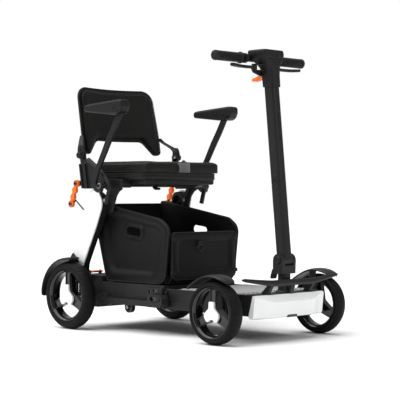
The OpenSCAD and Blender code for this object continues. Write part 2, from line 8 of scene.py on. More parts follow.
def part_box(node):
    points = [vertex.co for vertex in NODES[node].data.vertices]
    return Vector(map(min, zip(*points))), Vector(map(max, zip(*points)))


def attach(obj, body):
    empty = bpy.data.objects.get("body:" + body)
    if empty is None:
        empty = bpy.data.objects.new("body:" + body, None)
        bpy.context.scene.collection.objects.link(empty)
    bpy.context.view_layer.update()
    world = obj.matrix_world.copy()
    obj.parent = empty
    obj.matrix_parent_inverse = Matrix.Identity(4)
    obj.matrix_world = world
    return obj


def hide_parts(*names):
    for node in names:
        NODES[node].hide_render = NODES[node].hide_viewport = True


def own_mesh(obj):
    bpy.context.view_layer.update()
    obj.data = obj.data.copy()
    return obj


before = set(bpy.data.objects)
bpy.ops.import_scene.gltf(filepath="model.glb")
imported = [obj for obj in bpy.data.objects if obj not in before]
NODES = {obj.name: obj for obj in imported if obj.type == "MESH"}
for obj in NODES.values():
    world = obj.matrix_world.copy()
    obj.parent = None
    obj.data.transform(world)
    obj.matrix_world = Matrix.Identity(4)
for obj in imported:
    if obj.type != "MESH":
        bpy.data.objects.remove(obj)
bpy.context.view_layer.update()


def middle(node):
    lo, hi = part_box(node)
    return (lo + hi) / 2


# places below are in millimetres: x forward from the rear axle, y to the left, z up from the ground
X0 = middle("rear_tyre_right").x


WHEELBASE, TRACK_HALF = 704, 249
REAR_R, FRONT_R = 116.5, 100.5
TILLER_X, TILLER_Z = 768, 257
ARM_PIVOT = (163, 495)
BACK_PIVOT = (34, 602)
CUSHION_BASE = 540.3


def V(x, y, z):
    return Vector((X0 + x / 1000, y / 1000, z / 1000))


# ---------- camera, light, floor ----------
cam = bpy.data.objects.new("camera", bpy.data.cameras.new("camera"))
bpy.context.scene.collection.objects.link(cam)
cam.location = (3.2092, -3.1625, 0.47)
cam.rotation_euler = (radians(90), 0, radians(45))
cam.data.sensor_width = 36
cam.data.lens = 118.4
cam.data.shift_y = -0.0167
bpy.context.scene.camera = cam
bpy.context.scene.view_settings.view_transform = "Standard"

world = bpy.data.worlds.new("studio")
bpy.context.scene.world = world
world.use_nodes = True
sky = world.node_tree.nodes["Background"]
sky.inputs["Color"].default_value = (1, 1, 1, 1)
ray = world.node_tree.nodes.new("ShaderNodeLightPath")
dim = world.node_tree.nodes.new("ShaderNodeMapRange")
dim.inputs["To Min"].default_value = 0.38
world.node_tree.links.new(ray.outputs["Is Camera Ray"], dim.inputs["Value"])
world.node_tree.links.new(dim.outputs[0], sky.inputs["Strength"])


def area(name, at, to, size, power):
    d = bpy.data.lights.new(name, "AREA")
    d.shape, d.size, d.energy = "DISK", size, power
    o = bpy.data.objects.new(name, d)
    o.location = at
    o.rotation_euler = (Vector(to) - Vector(at)).to_track_quat("-Z", "Y").to_euler()
    bpy.context.scene.collection.objects.link(o)


soft_sun = bpy.data.lights.new("overhead", "SUN")
soft_sun.energy, soft_sun.angle = 3.2, radians(75)
o = bpy.data.objects.new("overhead", soft_sun)
o.rotation_euler = (radians(16), radians(-14), 0)
bpy.context.scene.collection.objects.link(o)
area("key", (-0.9, -2.6, 2.4), (0, 0, 0.35), 1.3, 30)
area("front", (2.8, 0.6, 1.6), (0.1, 0, 0.4), 1.0, 12)


# ---------- materials ----------
def material(name, color, rough, grain=900.0, bump=0.0003, var=0.16, metal=0.0, edge=0.35, coat=0.0,
    sheen=0.0, pattern="noise", spec=0.24, bevel=0.0012, streak=None):
    """A procedural finish: colour drift, roughness drift, surface grain, and edges painted lighter as a
    highlight.
    """
    m = bpy.data.materials.new(name)
    m.use_nodes = True
    nt = m.node_tree
    out = nt.nodes["Principled BSDF"]
    new, wire = nt.nodes.new, nt.links.new
    coord = new("ShaderNodeTexCoord")
    source = coord.outputs["Object"]
    if streak:
        mapping = new("ShaderNodeMapping")
        mapping.inputs["Scale"].default_value = streak
        wire(source, mapping.inputs["Vector"])
        source = mapping.outputs["Vector"]
    drift = new("ShaderNodeTexNoise")
    drift.inputs["Scale"].default_value = 14
    drift.inputs["Detail"].default_value = 4
    wire(coord.outputs["Object"], drift.inputs["Vector"])
    if pattern == "noise":
        fine = new("ShaderNodeTexNoise")
        fine.inputs["Detail"].default_value = 2
        height = fine.outputs["Fac"]
    elif pattern == "pebble":
        fine = new("ShaderNodeTexVoronoi")
        fine.feature = "SMOOTH_F1"
        height = fine.outputs["Distance"]
    else:
        fine = new("ShaderNodeTexWave")
        fine.inputs["Distortion"].default_value = 1.5
        height = fine.outputs["Fac"]
    fine.inputs["Scale"].default_value = grain
    wire(source, fine.inputs["Vector"])
    dark = new("ShaderNodeMix")
    dark.data_type = "RGBA"
    dark.inputs[6].default_value = [c * (1 - var) for c in color] + [1]
    dark.inputs[7].default_value = [min(1, c * (1 + var)) for c in color] + [1]
    wire(drift.outputs["Fac"], dark.inputs[0])
    speck = new("ShaderNodeMix")
    speck.data_type = "RGBA"
    speck.blend_type = "MULTIPLY"
    speck.inputs[7].default_value = (0.72, 0.72, 0.72, 1)
    fac = new("ShaderNodeMapRange")
    fac.inputs["From Min"].default_value = 0.35
    fac.inputs["From Max"].default_value = 0.75
    fac.inputs["To Max"].default_value = var * 1.6
    wire(height, fac.inputs["Value"])
    wire(fac.outputs[0], speck.inputs[0])
    wire(dark.outputs[2], speck.inputs[6])
    shade = speck.outputs[2]
    round_edge = new("ShaderNodeBevel")
    round_edge.samples = 4
    round_edge.inputs["Radius"].default_value = bevel
    # painted highlight: where the rounded-edge normal turns away from the face normal the colour is
    # lightened, as if light caught the edge; edge sets how much
    if edge:
        geo = new("ShaderNodeNewGeometry")
        dot = new("ShaderNodeVectorMath")
        dot.operation = "DOT_PRODUCT"
        wire(round_edge.outputs["Normal"], dot.inputs[0])
        wire(geo.outputs["Normal"], dot.inputs[1])
        painted_edge_highlight = new("ShaderNodeMapRange")
        painted_edge_highlight.inputs["From Min"].default_value = 0.999
        painted_edge_highlight.inputs["From Max"].default_value = 0.75
        painted_edge_highlight.inputs["To Max"].default_value = edge
        wire(dot.outputs["Value"], painted_edge_highlight.inputs["Value"])
        light = new("ShaderNodeMix")
        light.data_type = "RGBA"
        light.inputs[7].default_value = [min(1, c * 2.4 + 0.01) for c in color] + [1]
        wire(painted_edge_highlight.outputs[0], light.inputs[0])
        wire(shade, light.inputs[6])
        shade = light.outputs[2]
    wire(shade, out.inputs["Base Color"])
    gloss = new("ShaderNodeMapRange")
    gloss.inputs["To Min"].default_value = rough * 0.82
    gloss.inputs["To Max"].default_value = min(1, rough * 1.18)
    wire(drift.outputs["Fac"], gloss.inputs["Value"])
    wire(gloss.outputs[0], out.inputs["Roughness"])
    b = new("ShaderNodeBump")
    b.inputs["Distance"].default_value = bump
    b.inputs["Strength"].default_value = 0.6
    wire(height, b.inputs["Height"])
    wire(round_edge.outputs["Normal"], b.inputs["Normal"])
    wire(b.outputs["Normal"], out.inputs["Normal"])
    out.inputs["Metallic"].default_value = metal
    out.inputs["Specular IOR Level"].default_value = spec
    out.inputs["Coat Weight"].default_value = coat
    out.inputs["Coat Roughness"].default_value = 0.12
    out.inputs["Sheen Weight"].default_value = sheen
    out.inputs["Sheen Roughness"].default_value = 0.4
    return m


M = {"shell": material("shell_plastic", (0.006, 0.006, 0.0063), 0.5, grain=1100, bump=0.00025),
    "frame": material("frame_coat", (0.009, 0.009, 0.0093), 0.44, grain=700, bump=0.0002, edge=0.45),
    "base": material("base_coat", (0.016, 0.016, 0.0165), 0.5, grain=900, bump=0.00025, edge=0.4),
    "fender": material("fender_plastic", (0.011, 0.011, 0.0115), 0.34, grain=1300, bump=0.0001, edge=0.3),
    "silver": material("silver_metal", (0.55, 0.56, 0.58), 0.3, grain=500, bump=0.0001, metal=1.0, var=0.08,
    streak=(1, 18, 1)), "steel": material("zinc_steel", (0.4, 0.41, 0.43), 0.32, grain=300, bump=0.00015,
    metal=1.0, var=0.1, streak=(1, 12, 1)), "dark_steel": material("black_oxide", (0.02, 0.02, 0.021), 0.35,
    grain=600, bump=0.00015, metal=0.6), "deck": material("deck_metal", (0.42, 0.42, 0.43), 0.45,
    grain=1500, bump=0.0006, metal=0.35, var=0.2), "white": material("white_cover", (0.84, 0.85, 0.85),
    0.16, grain=260, bump=0.00005, var=0.02, edge=0.0, coat=0.5, spec=0.5),
    "orange": material("orange_plastic", (0.9, 0.16, 0.01), 0.38, grain=800, bump=0.0002, var=0.08,
    edge=0.1), "orange_rubber": material("orange_rubber", (0.88, 0.15, 0.01), 0.55, grain=1200, bump=0.0003,
    var=0.1, edge=0.1), "tyre": material("tyre_rubber", (0.0045, 0.0045, 0.0048), 0.62, grain=700,
    bump=0.0004, var=0.25, spec=0.14, edge=0.2), "rim": material("rim_black", (0.004, 0.004, 0.0042), 0.14,
    grain=400, bump=0.00005, coat=0.5, edge=0.1), "vinyl": material("seat_vinyl", (0.0048, 0.0043, 0.0037),
    0.47, grain=420, bump=0.0009, pattern="pebble", var=0.15, sheen=0.02, edge=0.0, spec=0.2),
    "thread": material("seam_thread", (0.014, 0.0125, 0.0105), 0.6, grain=1500, bump=0.0004, edge=0.0,
    pattern="wave"), "felt": material("bin_felt", (0.0036, 0.0036, 0.0038), 0.48, grain=1300, bump=0.0004,
    var=0.3, sheen=0.02, edge=0.0, spec=0.16), "liner": material("notch_liner", (0.16, 0.16, 0.165), 0.5,
    grain=900, bump=0.0002, edge=0.2), "piping": material("piping_tape", (0.014, 0.012, 0.0105), 0.6,
    grain=1600, bump=0.0006, pattern="wave", edge=0.0), "grip": material("grip_rubber",
    (0.006, 0.006, 0.0063), 0.5, grain=1400, bump=0.0004, edge=0.25), "glass": material("display_glass",
    (0.006, 0.006, 0.007), 0.07, grain=200, bump=0.00003, coat=0.8, edge=0.0),
    "mark": material("dial_mark", (0.6, 0.62, 0.62), 0.4, grain=900, bump=0.0001, edge=0.0), }


# ---------- mesh helpers ----------
def link(name, me):
    o = bpy.data.objects.new(name, me)
    bpy.context.scene.collection.objects.link(o)
    return o


def clean(bm, weld=2e-5):
    bmesh.ops.remove_doubles(bm, verts=bm.verts, dist=weld)
    bmesh.ops.dissolve_degenerate(bm, dist=1e-6, edges=bm.edges)
    bmesh.ops.recalc_face_normals(bm, faces=bm.faces)


def shade(me, angle):
    me.polygons.foreach_set("use_smooth", [True] * len(me.polygons))
    me.set_sharp_from_angle(angle=radians(angle))


def solid(name, verts, faces, angle=40):
    bm = bmesh.new()
    made = [bm.verts.new(v) for v in verts]
    for f in faces:
        bm.faces.new([made[i] for i in f])
    clean(bm)
    me = bpy.data.meshes.new(name)
    bm.to_mesh(me)
    bm.free()
    shade(me, angle)
    return link(name, me)


def join(name, parts):
    """One object from several, which are removed."""
    bm = bmesh.new()
    for p in parts:
        bm.from_mesh(p.data)
        bpy.data.objects.remove(p)
    me = bpy.data.meshes.new(name)
    bm.to_mesh(me)
    bm.free()
    shade(me, 40)
    return link(name, me)


def dress(o, mat, body, nodes=(), weighted=True):
    o.data.materials.clear()
    o.data.materials.append(M[mat])
    if weighted:
        w = o.modifiers.new("normals", "WEIGHTED_NORMAL")
        w.keep_sharp = True
    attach(o, body)
    if nodes:
        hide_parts(*([nodes] if isinstance(nodes, str) else nodes))
    return o


def fillet(points, n=5):
    """A closed outline whose corners (u, v, radius) are rounded with n steps each."""
    out = []
    for i, p in enumerate(points):
        c = Vector(p[:2])
        a, b = Vector(points[i - 1][:2]) - c, Vector(points[(i + 1) % len(points)][:2]) - c
        turn = a.angle(b)
        reach = min(max(p[2] if len(p) > 2 else 0, 0.15) / tan(turn / 2),
            0.49 * min(a.length, b.length))
        r = reach * tan(turn / 2)
        if turn > radians(179):
            out += [c + a.normalized() * reach * (1 - k / n) + b.normalized() * reach * k / n
                for k in range(n + 1)]
            continue
        centre = c + (a.normalized() + b.normalized()).normalized() * r / sin(turn / 2)
        d0, d1 = c + a.normalized() * reach - centre, c + b.normalized() * reach - centre
        sweep = atan2(d0.x * d1.y - d0.y * d1.x, d0.dot(d1))
        for k in range(n + 1):
            t = sweep * k / n
            out.append(centre + Vector((d0.x * cos(t) - d0.y * sin(t),
                d0.x * sin(t) + d0.y * cos(t))))
    return out


def spline(points, n=6):
    """Points along a smooth curve through the given ones."""
    pts = [Vector(p) for p in points]
    pts = [2 * pts[0] - pts[1]] + pts + [2 * pts[-1] - pts[-2]]
    out = []
    for i in range(1, len(pts) - 2):
        a, b, c, d = pts[i - 1:i + 3]
        for k in range(n):
            t = k / n
            out.append(0.5 * (2 * b + (c - a) * t + (2 * a - 5 * b + 4 * c - d) * t * t
                              + (3 * b - a - 3 * c + d) * t ** 3))
    return out + [pts[-2]]


def ribbon(points, widths, n=6, caps=6):
    """Outline of a band along a smooth centreline, with round ends."""
    line = spline(points, n)
    size = spline([(w, 0) for w in widths], n)
    left, right = [], []
    for i, p in enumerate(line):
        along = (line[min(i + 1, len(line) - 1)] - line[max(i - 1, 0)]).normalized()
        side = Vector((-along.y, along.x)) * size[i].x / 2
        left.append(p + side)
        right.append(p - side)

    def cap(centre, start):
        d = start - centre
        return [centre + Vector((d.x * cos(t) + d.y * sin(t),
            -d.x * sin(t) + d.y * cos(t))) for t in [pi * k / caps for k in range(1, caps)]]
    return left + cap(line[-1], left[-1]) + right[::-1] + cap(line[0], right[0])


FACES = {"XZ": Matrix(((1, 0, 0), (0, 0, -1), (0, 1, 0))).to_4x4(), "YZ": Matrix(((0, 0, 1), (1, 0, 0),
    (0, 1, 0))).to_4x4(), "XY": Matrix.Identity(4)}


def plate(name, loops, a, b, plane="XZ", bevel=1.5, res=3, angle=40):
    """An outline with holes, made solid from a to b across its plane, edges rounded, in millimetres."""
    c = bpy.data.curves.new(name, "CURVE")
    c.dimensions, c.fill_mode = "2D", "BOTH"
    lo, hi = min(a, b), max(a, b)
    bevel = min(bevel, (hi - lo) / 2 - 0.01)
    c.extrude, c.bevel_depth, c.offset = (hi - lo) / 2000 - bevel / 1000, bevel / 1000, -bevel / 1000
    c.bevel_resolution = res
    for loop in loops:
        s = c.splines.new("POLY")
        s.points.add(len(loop) - 1)
        for q, p in zip(s.points, loop):
            q.co = (p[0] / 1000, p[1] / 1000, 0, 1)
        s.use_cyclic_u = True
    o = bpy.data.objects.new(name + "_line", c)
    bpy.context.scene.collection.objects.link(o)
    me = bpy.data.meshes.new_from_object(o.evaluated_get(bpy.context.evaluated_depsgraph_get()))
    bpy.data.objects.remove(o)
    mid = {"XZ": V(0, (a + b) / 2, 0), "YZ": V((a + b) / 2, 0, 0), "XY": V(0, 0, (a + b) / 2)}[plane]
    me.transform(Matrix.Translation(mid) @ FACES[plane])
    bm = bmesh.new()
    bm.from_mesh(me)
    clean(bm)
    bm.to_mesh(me)
    bm.free()
    me.name = name
    shade(me, angle)
    return link(name, me)


def loft(name, rings, caps=True, around=True, angle=40, levels=0):
    """A skin over rings of points; around closes each ring, caps close the ends."""
    n = len(rings[0])
    verts = [p for r in rings for p in r]
    faces = []
    for i in range(len(rings) - 1):
        for k in range(n if around else n - 1):
            a, b = i * n + k, i * n + (k + 1) % n
            faces.append((a, b, b + n, a + n))
    if caps:
        faces += [tuple(range(n))[::-1], tuple(range((len(rings) - 1) * n, len(rings) * n))]
    o = solid(name, verts, faces, angle)
    if levels:
        o.modifiers.new("smooth", "SUBSURF").levels = levels
        o.modifiers["smooth"].render_levels = levels
    return o


def tube(name, points, r, cyclic=False, sides=3):
    """A round cord or wire through points, radius in millimetres."""
    c = bpy.data.curves.new(name, "CURVE")
    c.dimensions, c.bevel_depth, c.bevel_resolution, c.use_fill_caps = "3D", r / 1000, sides, True
    s = c.splines.new("POLY")
    s.points.add(len(points) - 1)
    for q, p in zip(s.points, points):
        q.co = (*p, 1)
    s.use_cyclic_u = cyclic
    o = bpy.data.objects.new(name + "_line", c)
    bpy.context.scene.collection.objects.link(o)
    me = bpy.data.meshes.new_from_object(o.evaluated_get(bpy.context.evaluated_depsgraph_get()))
    bpy.data.objects.remove(o)
    bm = bmesh.new()
    bm.from_mesh(me)
    clean(bm)
    bm.to_mesh(me)
    bm.free()
    me.name = name
    shade(me, 50)
    return link(name, me)


def turned(name, profile, at, axis=(0, 1, 0), n=48, closed=False, angle=35):
    """A turned piece: profile of (radius, distance along the axis) in millimetres."""
    z = Vector(axis).normalized()
    x = z.orthogonal().normalized()
    y = z.cross(x)
    rings = [[at + (x * cos(t) + y * sin(t)) * max(r, 0.001) / 1000 + z * w / 1000 for r,
        w in profile] for t in [2 * pi * k / n for k in range(n)]]
    m = len(profile)
    verts = [p for r in rings for p in r]
    faces = []
    for i in range(n):
        for k in range(m if closed else m - 1):
            a, b = i * m + k, ((i + 1) % n) * m + k
            a2, b2 = i * m + (k + 1) % m, ((i + 1) % n) * m + (k + 1) % m
            faces.append((a, b, b2, a2))
    if not closed:
        faces += [tuple(i * m for i in range(n)), tuple(i * m + m - 1 for i in range(n))]
    return solid(name, verts, faces, angle)


def screw(name, at, axis, body, r=5.0, mat="dark_steel"):
    """A button-head screw with a hexagon socket."""
    z = Vector(axis).normalized()
    x = z.orthogonal().normalized()
    y = z.cross(x)
    rings = []
    for rad, w in [(r, -1), (r, 0.8), (r * 0.94, 1.7), (r * 0.8, 2.5), (r * 0.58, 3.0)]:
        rings.append([at + (x * cos(t) + y * sin(t)) * rad / 1000 + z * w / 1000
            for t in [2 * pi * k / 24 for k in range(24)]])
    for rad, w in [(r * 0.46, 3.0), (r * 0.46, 0.9)]:
        ring = []
        for k in range(24):
            t = 2 * pi * k / 24
            flat = cos(pi / 6) / cos((t % (pi / 3)) - pi / 6)
            ring.append(at + (x * cos(t) + y * sin(t)) * rad * flat / 1000 + z * w / 1000)
        rings.append(ring)
    return dress(loft(name, rings, angle=30), mat, body, weighted=False)


def sides(make):
    """Makes a piece on the right (-1) and on the left (+1)."""
    for s, side in ((-1, "right"), (1, "left")):
        make(s, side)


# ---------- wheels ----------
def wheel(x, r, bead, s, name, body):
    at = V(x, s * TRACK_HALF, r)
    out = Vector((0, s, 0))
    # tyre: a round crown with curved grooves over both shoulders
    prof = [(bead, -15), (bead + 2.5, -20), (bead + 5, -23.2)]
    prof += [(p.x, p.y) for p in spline([(bead + 5, -23.2), (bead + 12, -25), (r - 9, -22.6),
        (r - 3.4, -15.5), (r - 0.7, -7), (r, 0)], 6)[1:]]
    prof += [(p, -w) for p, w in prof[-2::-1]]
    pitch, count = 8, 38 if r > 110 else 34
    total = pitch * count
    verts = []
    for i in range(total):
        for rad, w in prof:
            reach = min(1, max(0, (abs(w) - 5) / 19))
            twist = (4.2 * reach ** 1.6 if w * s < 0 else -4.2 * reach ** 1.6)
            half_step = pitch // 2 if w < 0 else 0
            groove = 0.0
            if (i + half_step) % pitch == 0 and 7 < abs(w) < 23.6 and rad > bead + 9:
                groove = 1.7 if abs(w) < 21 else 1.0
            if abs(abs(w) - 23.2) < 0.01:
                groove = 0.8
            t = 2 * pi * (i + twist) / total
            rr = rad - groove
            verts.append(at + Vector((cos(t) * rr, s * w, sin(t) * rr)) / 1000)
    m = len(prof)
    faces = [(i * m + k, ((i + 1) % total) * m + k, ((i + 1) % total) * m + (k + 1) % m,
        i * m + (k + 1) % m) for i in range(total) for k in range(m)]
    dress(solid(name + "_tyre", verts, faces, 42), "tyre", body, name.replace("wheel", "tyre"),
        False)
    # rim: a barrel with rolled lips, and three channel spokes
    b = bead
    barrel = turned(name + "_barrel", [(b - 0.4, -16), (b + 1.6, -19.5), (b + 1.4, -22), (b - 1.8, -22.4),
        (b - 4.2, -19.8), (b - 7.5, -16.5), (b - 8.5, -10), (b - 9.2, 0), (b - 8.5, 10), (b - 7.5, 16.5),
        (b - 4.2, 19.8), (b - 1.8, 22.4), (b + 1.4, 22), (b + 1.6, 19.5), (b - 0.4, 16)], at, out, 96,
        closed=True, angle=50)
    ends = []
    for a in (90, 210, 330):
        t, u = radians(a), radians(a + 90)
        for q in (-1, 1):
            ends.append((x + (b - 7) * cos(t) + q * 13 * cos(u),
                r + (b - 7) * sin(t) + q * 13 * sin(u), 1))
        t = radians(a + 60)
        ends.append((x + 25 * cos(t), r + 25 * sin(t), 12))
    spokes = plate(name + "_spokes", [fillet(ends)], s * 239, s * 259.5, bevel=2.2)
    ribs = []
    for a in (90, 210, 330):
        t, u = Vector((cos(radians(a)), sin(radians(a)))), Vector(
            (-sin(radians(a)), cos(radians(a))))
        for q in (-1, 1):
            c = [Vector((x, r)) + t * d + u * (q * 10.6 + e) for d, e in ((30, -1.6), (b - 8, -1.6),
                (b - 8, 1.6), (30, 1.6))]
            ribs.append(plate("rib", [[(p.x, p.y) for p in c]], s * 258, s * 263, bevel=1))
    hub = turned("hub", [(0.01, -16), (20, -16), (24, -13), (24, 9), (22, 11), (0.01, 11)], at, out, 48)
    dress(join(name + "_rim", [barrel, spokes, hub] + ribs), "rim", body, name.replace("wheel", "rim"))
    # white hub cover, blank, with two shallow legs astride a notch
    k = b / 87
    right = [(12.2, 38, 4), (13.4, 15, 9), (34, -4, 9), (35, -15, 6), (24, -33, 7), (13, -31, 5),
        (7, -24, 6)]
    pts = [(x + u * k, r + v * k, f * k) for u, v, f in right] + [(x - u * k, r + v * k, f * k) for u, v,
        f in right[::-1]]
    cap = plate(name + "_cover", [fillet(pts, 6)], s * 260.2, s * 270.5, bevel=3.2, res=4)
    dress(cap, "white", body, name.replace("wheel", "cap"))


sides(lambda s, side: wheel(0, REAR_R, 87, s, "rear_wheel_" + side, "rear_wheel_" + side))
sides(lambda s, side: wheel(WHEELBASE, FRONT_R, 79.5, s, "front_wheel_" + side, "front_wheel_" + side))


# ---------- fenders ----------
def fender(name, cx, cz, stations, s, body, nodes=()):
    """A thin crowned shell over a wheel: stations are (angle, radius, inner edge y, outer edge y)."""
    rings = []
    for t, r, y0, y1 in stations:
        n = Vector((cos(radians(t)), sin(radians(t))))
        ring = []
        half, mid = (y1 - y0) / 2, (y0 + y1) / 2
        top = [(-1, -7), (-0.985, -2.6), (-0.9, -0.6), (-0.6, 1.2), (0, 2.2), (0.6, 1.4), (0.9, -0.4),
            (0.985, -2.6), (1, -7)]
        under = [(0.94, -7), (0.9, -3.6), (0.6, -2), (0, -1), (-0.6, -2), (-0.9, -3.6), (-0.94, -7)]
        for u, v in top + under:
            p = n * (r + v)
            ring.append(V(cx + p.x, s * (mid + u * half), cz + p.y))
        rings.append(ring)
    return dress(loft(name, rings, levels=1, angle=60), "fender", body, nodes, False)


def front_fender(s, side):
    st = [(54, 118.5, 236, 262), (56, 119, 231, 268), (62, 119, 223, 276), (72, 118.5, 220, 279),
        (85, 118.5, 219, 279.5), (100, 118.5, 219, 279.5), (115, 118.6, 219, 279.5), (128, 120, 219, 279),
        (138, 125, 220, 278), (146, 130.6, 223, 274), (147.4, 131.6, 228, 268)]
    fender("front_fender_skin_" + side, WHEELBASE, FRONT_R, st, s, "hub_" + side, "front_fender_" + side)


def rear_fender(s, side):
    st = [(78, 134.5, 236, 264), (79.5, 134, 228, 272), (84, 131.8, 221, 278), (98, 131, 219, 279.5),
        (115, 131, 219, 279.5), (135, 131, 219, 279.5), (155, 131, 219, 279.5), (172, 131.4, 220, 279),
        (181, 132.4, 222, 277), (184, 133.4, 228, 271)]
    fender("rear_fender_skin_" + side, 0, REAR_R, st, s, "base", "rear_fenders")
    arm = [(127 * cos(radians(t)), REAR_R + 127 * sin(radians(t)))
        for t in (118, 124, 130, 136, 141)]
    strip = ribbon(arm, [9] * 5, 3)
    dress(plate("rear_fender_arm_" + side, [strip], s * 171, s * 224, bevel=1.5), "base", "base")
    foot = fillet([(-50, 120, 2), (-50, 174, 5), (-60, 222, 8), (-98, 198, 8), (-84, 160, 10),
        (-56, 118, 4)])
    dress(plate("rear_fender_foot_" + side, [foot], s * 170.2, s * 176.5, bevel=1.8), "base", "base")
    fin = fillet([(-44, 229, 2), (-42, 240, 2), (-24, 263, 3), (4, 240, 4), (8, 230, 2)], 4)
    dress(plate("rear_fender_fin_" + side, [fin], s * 216.9, s * 220.6, bevel=1.2), "fender", "base")
    screw("rear_fender_screw_" + side, V(-66, s * 176, 178), (0, s, 0), "base", 4.5)


sides(front_fender)
sides(rear_fender)

# ---------- seat: pads made by inflating cloth ----------
def inflate(o, cap, voxel, pressure=4.0):
    """Swells a closed form as a stuffed cover would, no point further than cap millimetres."""
    rm = o.modifiers.new("remesh", "REMESH")
    rm.mode, rm.voxel_size = "VOXEL", voxel / 1000
    dg = bpy.context.evaluated_depsgraph_get()
    me = bpy.data.meshes.new_from_object(o.evaluated_get(dg))
    o.modifiers.clear()
    o.data = me
    rest = [v.co.copy() for v in me.vertices]
    cloth = o.modifiers.new("cloth", "CLOTH")
    c = cloth.settings
    c.quality, c.use_pressure, c.uniform_pressure_force = 5, True, pressure
    c.effector_weights.gravity = 0
    c.tension_stiffness = c.compression_stiffness = 12
    cloth.point_cache.frame_end = 21
    scene = bpy.context.scene
    for f in range(1, 21):
        scene.frame_set(f)
    new = bpy.data.meshes.new_from_object(o.evaluated_get(bpy.context.evaluated_depsgraph_get()))
    o.modifiers.clear()
    scene.frame_set(1)
    for v, p in zip(new.vertices, rest):
        d = v.co - p
        if d.length > cap / 1000:
            v.co = p + d.normalized() * cap / 1000
    o.data = new
    bm = bmesh.new()
    bm.from_mesh(o.data)
    for _ in range(3):
        bmesh.ops.smooth_vert(bm, verts=bm.verts, factor=0.5, use_axis_x=True, use_axis_y=True,
            use_axis_z=True)
    bm.to_mesh(o.data)
    bm.free()


def onto(o, points):
    """The nearest places on a mesh to the given points."""
    tree = BVHTree.FromObject(o, bpy.context.evaluated_depsgraph_get())
    return [tree.find_nearest(p)[0] for p in points]


seat_line = fillet([(36, -180, 20), (314, -180, 20), (314, -25, 6), (297, -21, 12), (285, -9, 11),
    (285, 9, 11), (297, 21, 12), (314, 25, 6), (314, 180, 20), (36, 180, 20)], 8)
cushion = plate("cushion", [seat_line], 534, 575, "XY", bevel=8)
inflate(cushion, 5.5, 4.5)
for v in cushion.data.vertices:
    z = v.co.z * 1000
    # flat underneath, crowned on top, with soft dips for the thighs
    y = v.co.y * 1000
    x = (v.co.x - X0) * 1000
    z -= 2.2 * exp(-((abs(y) - 92) / 52) ** 2) * max(0, (z - 560) / 20) * (1 if 70 < x < 300 else 0.6)
    v.co.z = max(z, CUSHION_BASE) / 1000
bpy.context.view_layer.update()
cushion.modifiers.new("smooth", "SUBSURF").levels = 1
cushion.modifiers["smooth"].render_levels = 1
shade(cushion.data, 180)
dress(cushion, "vinyl", "seat", "seat_cushion", False)
for zz, rr in ((543, 1.2), (571, 0.8)):
    rim = [V(p.x, p.y, zz) + (V(p.x, p.y, zz) - V(170, 0, zz)).normalized() * 0.004 for p in seat_line]
    dress(tube("cushion_seam_%d" % zz, onto(cushion, rim), rr, True), "thread", "seat", weighted=False)
# stiff lining of the notch; its light grey is partly its own colour and partly painted light falling into
# the groove
liner = ribbon([(315, -21.5), (302, -19.5), (293, -14), (288, -6), (287, 0), (288, 6), (293, 14),
    (302, 19.5), (315, 21.5)], [2.6] * 9, 4)
dress(plate("cushion_notch_liner", [liner], 540.6, 574, "XY", bevel=1.1), "liner", "seat")


# pan under the cushion, with a stepped lip
def dense(loop, step=12):
    """The same closed outline with no gap longer than step."""
    out = []
    for i, p in enumerate(loop):
        q = loop[(i + 1) % len(loop)]
        m = max(1, int((q - p).length / step))
        out += [p + (q - p) * j / m for j in range(m)]
    return out


def pan_ring(inset, z):
    h, a, b = 178.5 - inset, 31.5 + inset, 301.5 - inset
    pts = fillet([(a, -h, 22 - inset), (b, -h, 34 - inset), (b, h, 34 - inset), (a, h, 22 - inset)], 9)
    return [V(p.x, p.y, z) for p in pts]


rings = [pan_ring(i, z) for i, z in [(0.6, 539.8), (0, 539.2), (0, 531.5), (0.8, 530.6), (0.8, 529.6),
    (0, 528.8), (0, 520), (1, 517.4), (3.4, 515.8), (9, 515.2), (14, 515.2), (14, 517), (14, 539.8)]]
rings.append(rings[0])
pan = [loft("pan_lip", rings, caps=False, angle=40)]
pan.append(plate("tray", [[(p.x * 1000 - X0 * 1000, p.y * 1000) for p in pan_ring(12, 0)]], 517, 521, "XY",
    bevel=1))
for y in (-106, 106):
    pan.append(plate("rail", [fillet([(60, 492, 6), (60, 518, 2), (290, 518, 2), (290, 498, 10),
        (270, 492, 6)], 4)], y - 14, y + 14, bevel=2))
for x in (74, 276):
    pan.append(plate("bar", [fillet([(-166, 500, 8), (-166, 518, 2), (166, 518, 2), (166, 500, 8)], 4)],
        x - 14, x + 14, "YZ", bevel=2))
for y in (-152, 152):
    pan.append(plate("runner", [fillet([(66, 500, 5), (66, 518, 2), (284, 518, 2), (284, 500, 5)], 4)],
        y - 6, y + 6, bevel=1.5))
pan.append(plate("catch", [ribbon([(160, 520), (160, 496), (168, 487), (180, 486)], [10, 9, 9, 8], 4)], -8,
    8, bevel=2))
dress(join("pan_body", pan), "shell", "seat", "seat_pan")

# ---------- backrest ----------
RECLINE = radians(11.3)
BACK_BOW = 750
BACK_FOOT = (8, 620)


def recline(x, y, z):
    """A place in the backrest: x out of its face, bowed round the rider's back, z up along it."""
    x += BACK_BOW - 22 - sqrt(BACK_BOW ** 2 - y * y)
    return V(BACK_FOOT[0] + x * cos(RECLINE) - z * sin(RECLINE), y,
        BACK_FOOT[1] + x * sin(RECLINE) + z * cos(RECLINE))


def back_line(g):
    h, top = 184 + g, 237 + g
    right = [(h - 7, top, 46), (h, 60, 60), (h - 2, -8 - g, 19), (154, -8 - g, 16), (110, 44 - g, 34)]
    return fillet([(y, z, r) for y, z, r in right] + [(-y, z, r) for y, z, r in right[::-1]], 8)


def laid_back(me):
    for v in me.vertices:
        v.co = recline((v.co.x - X0) * 1000, v.co.y * 1000, v.co.z * 1000)


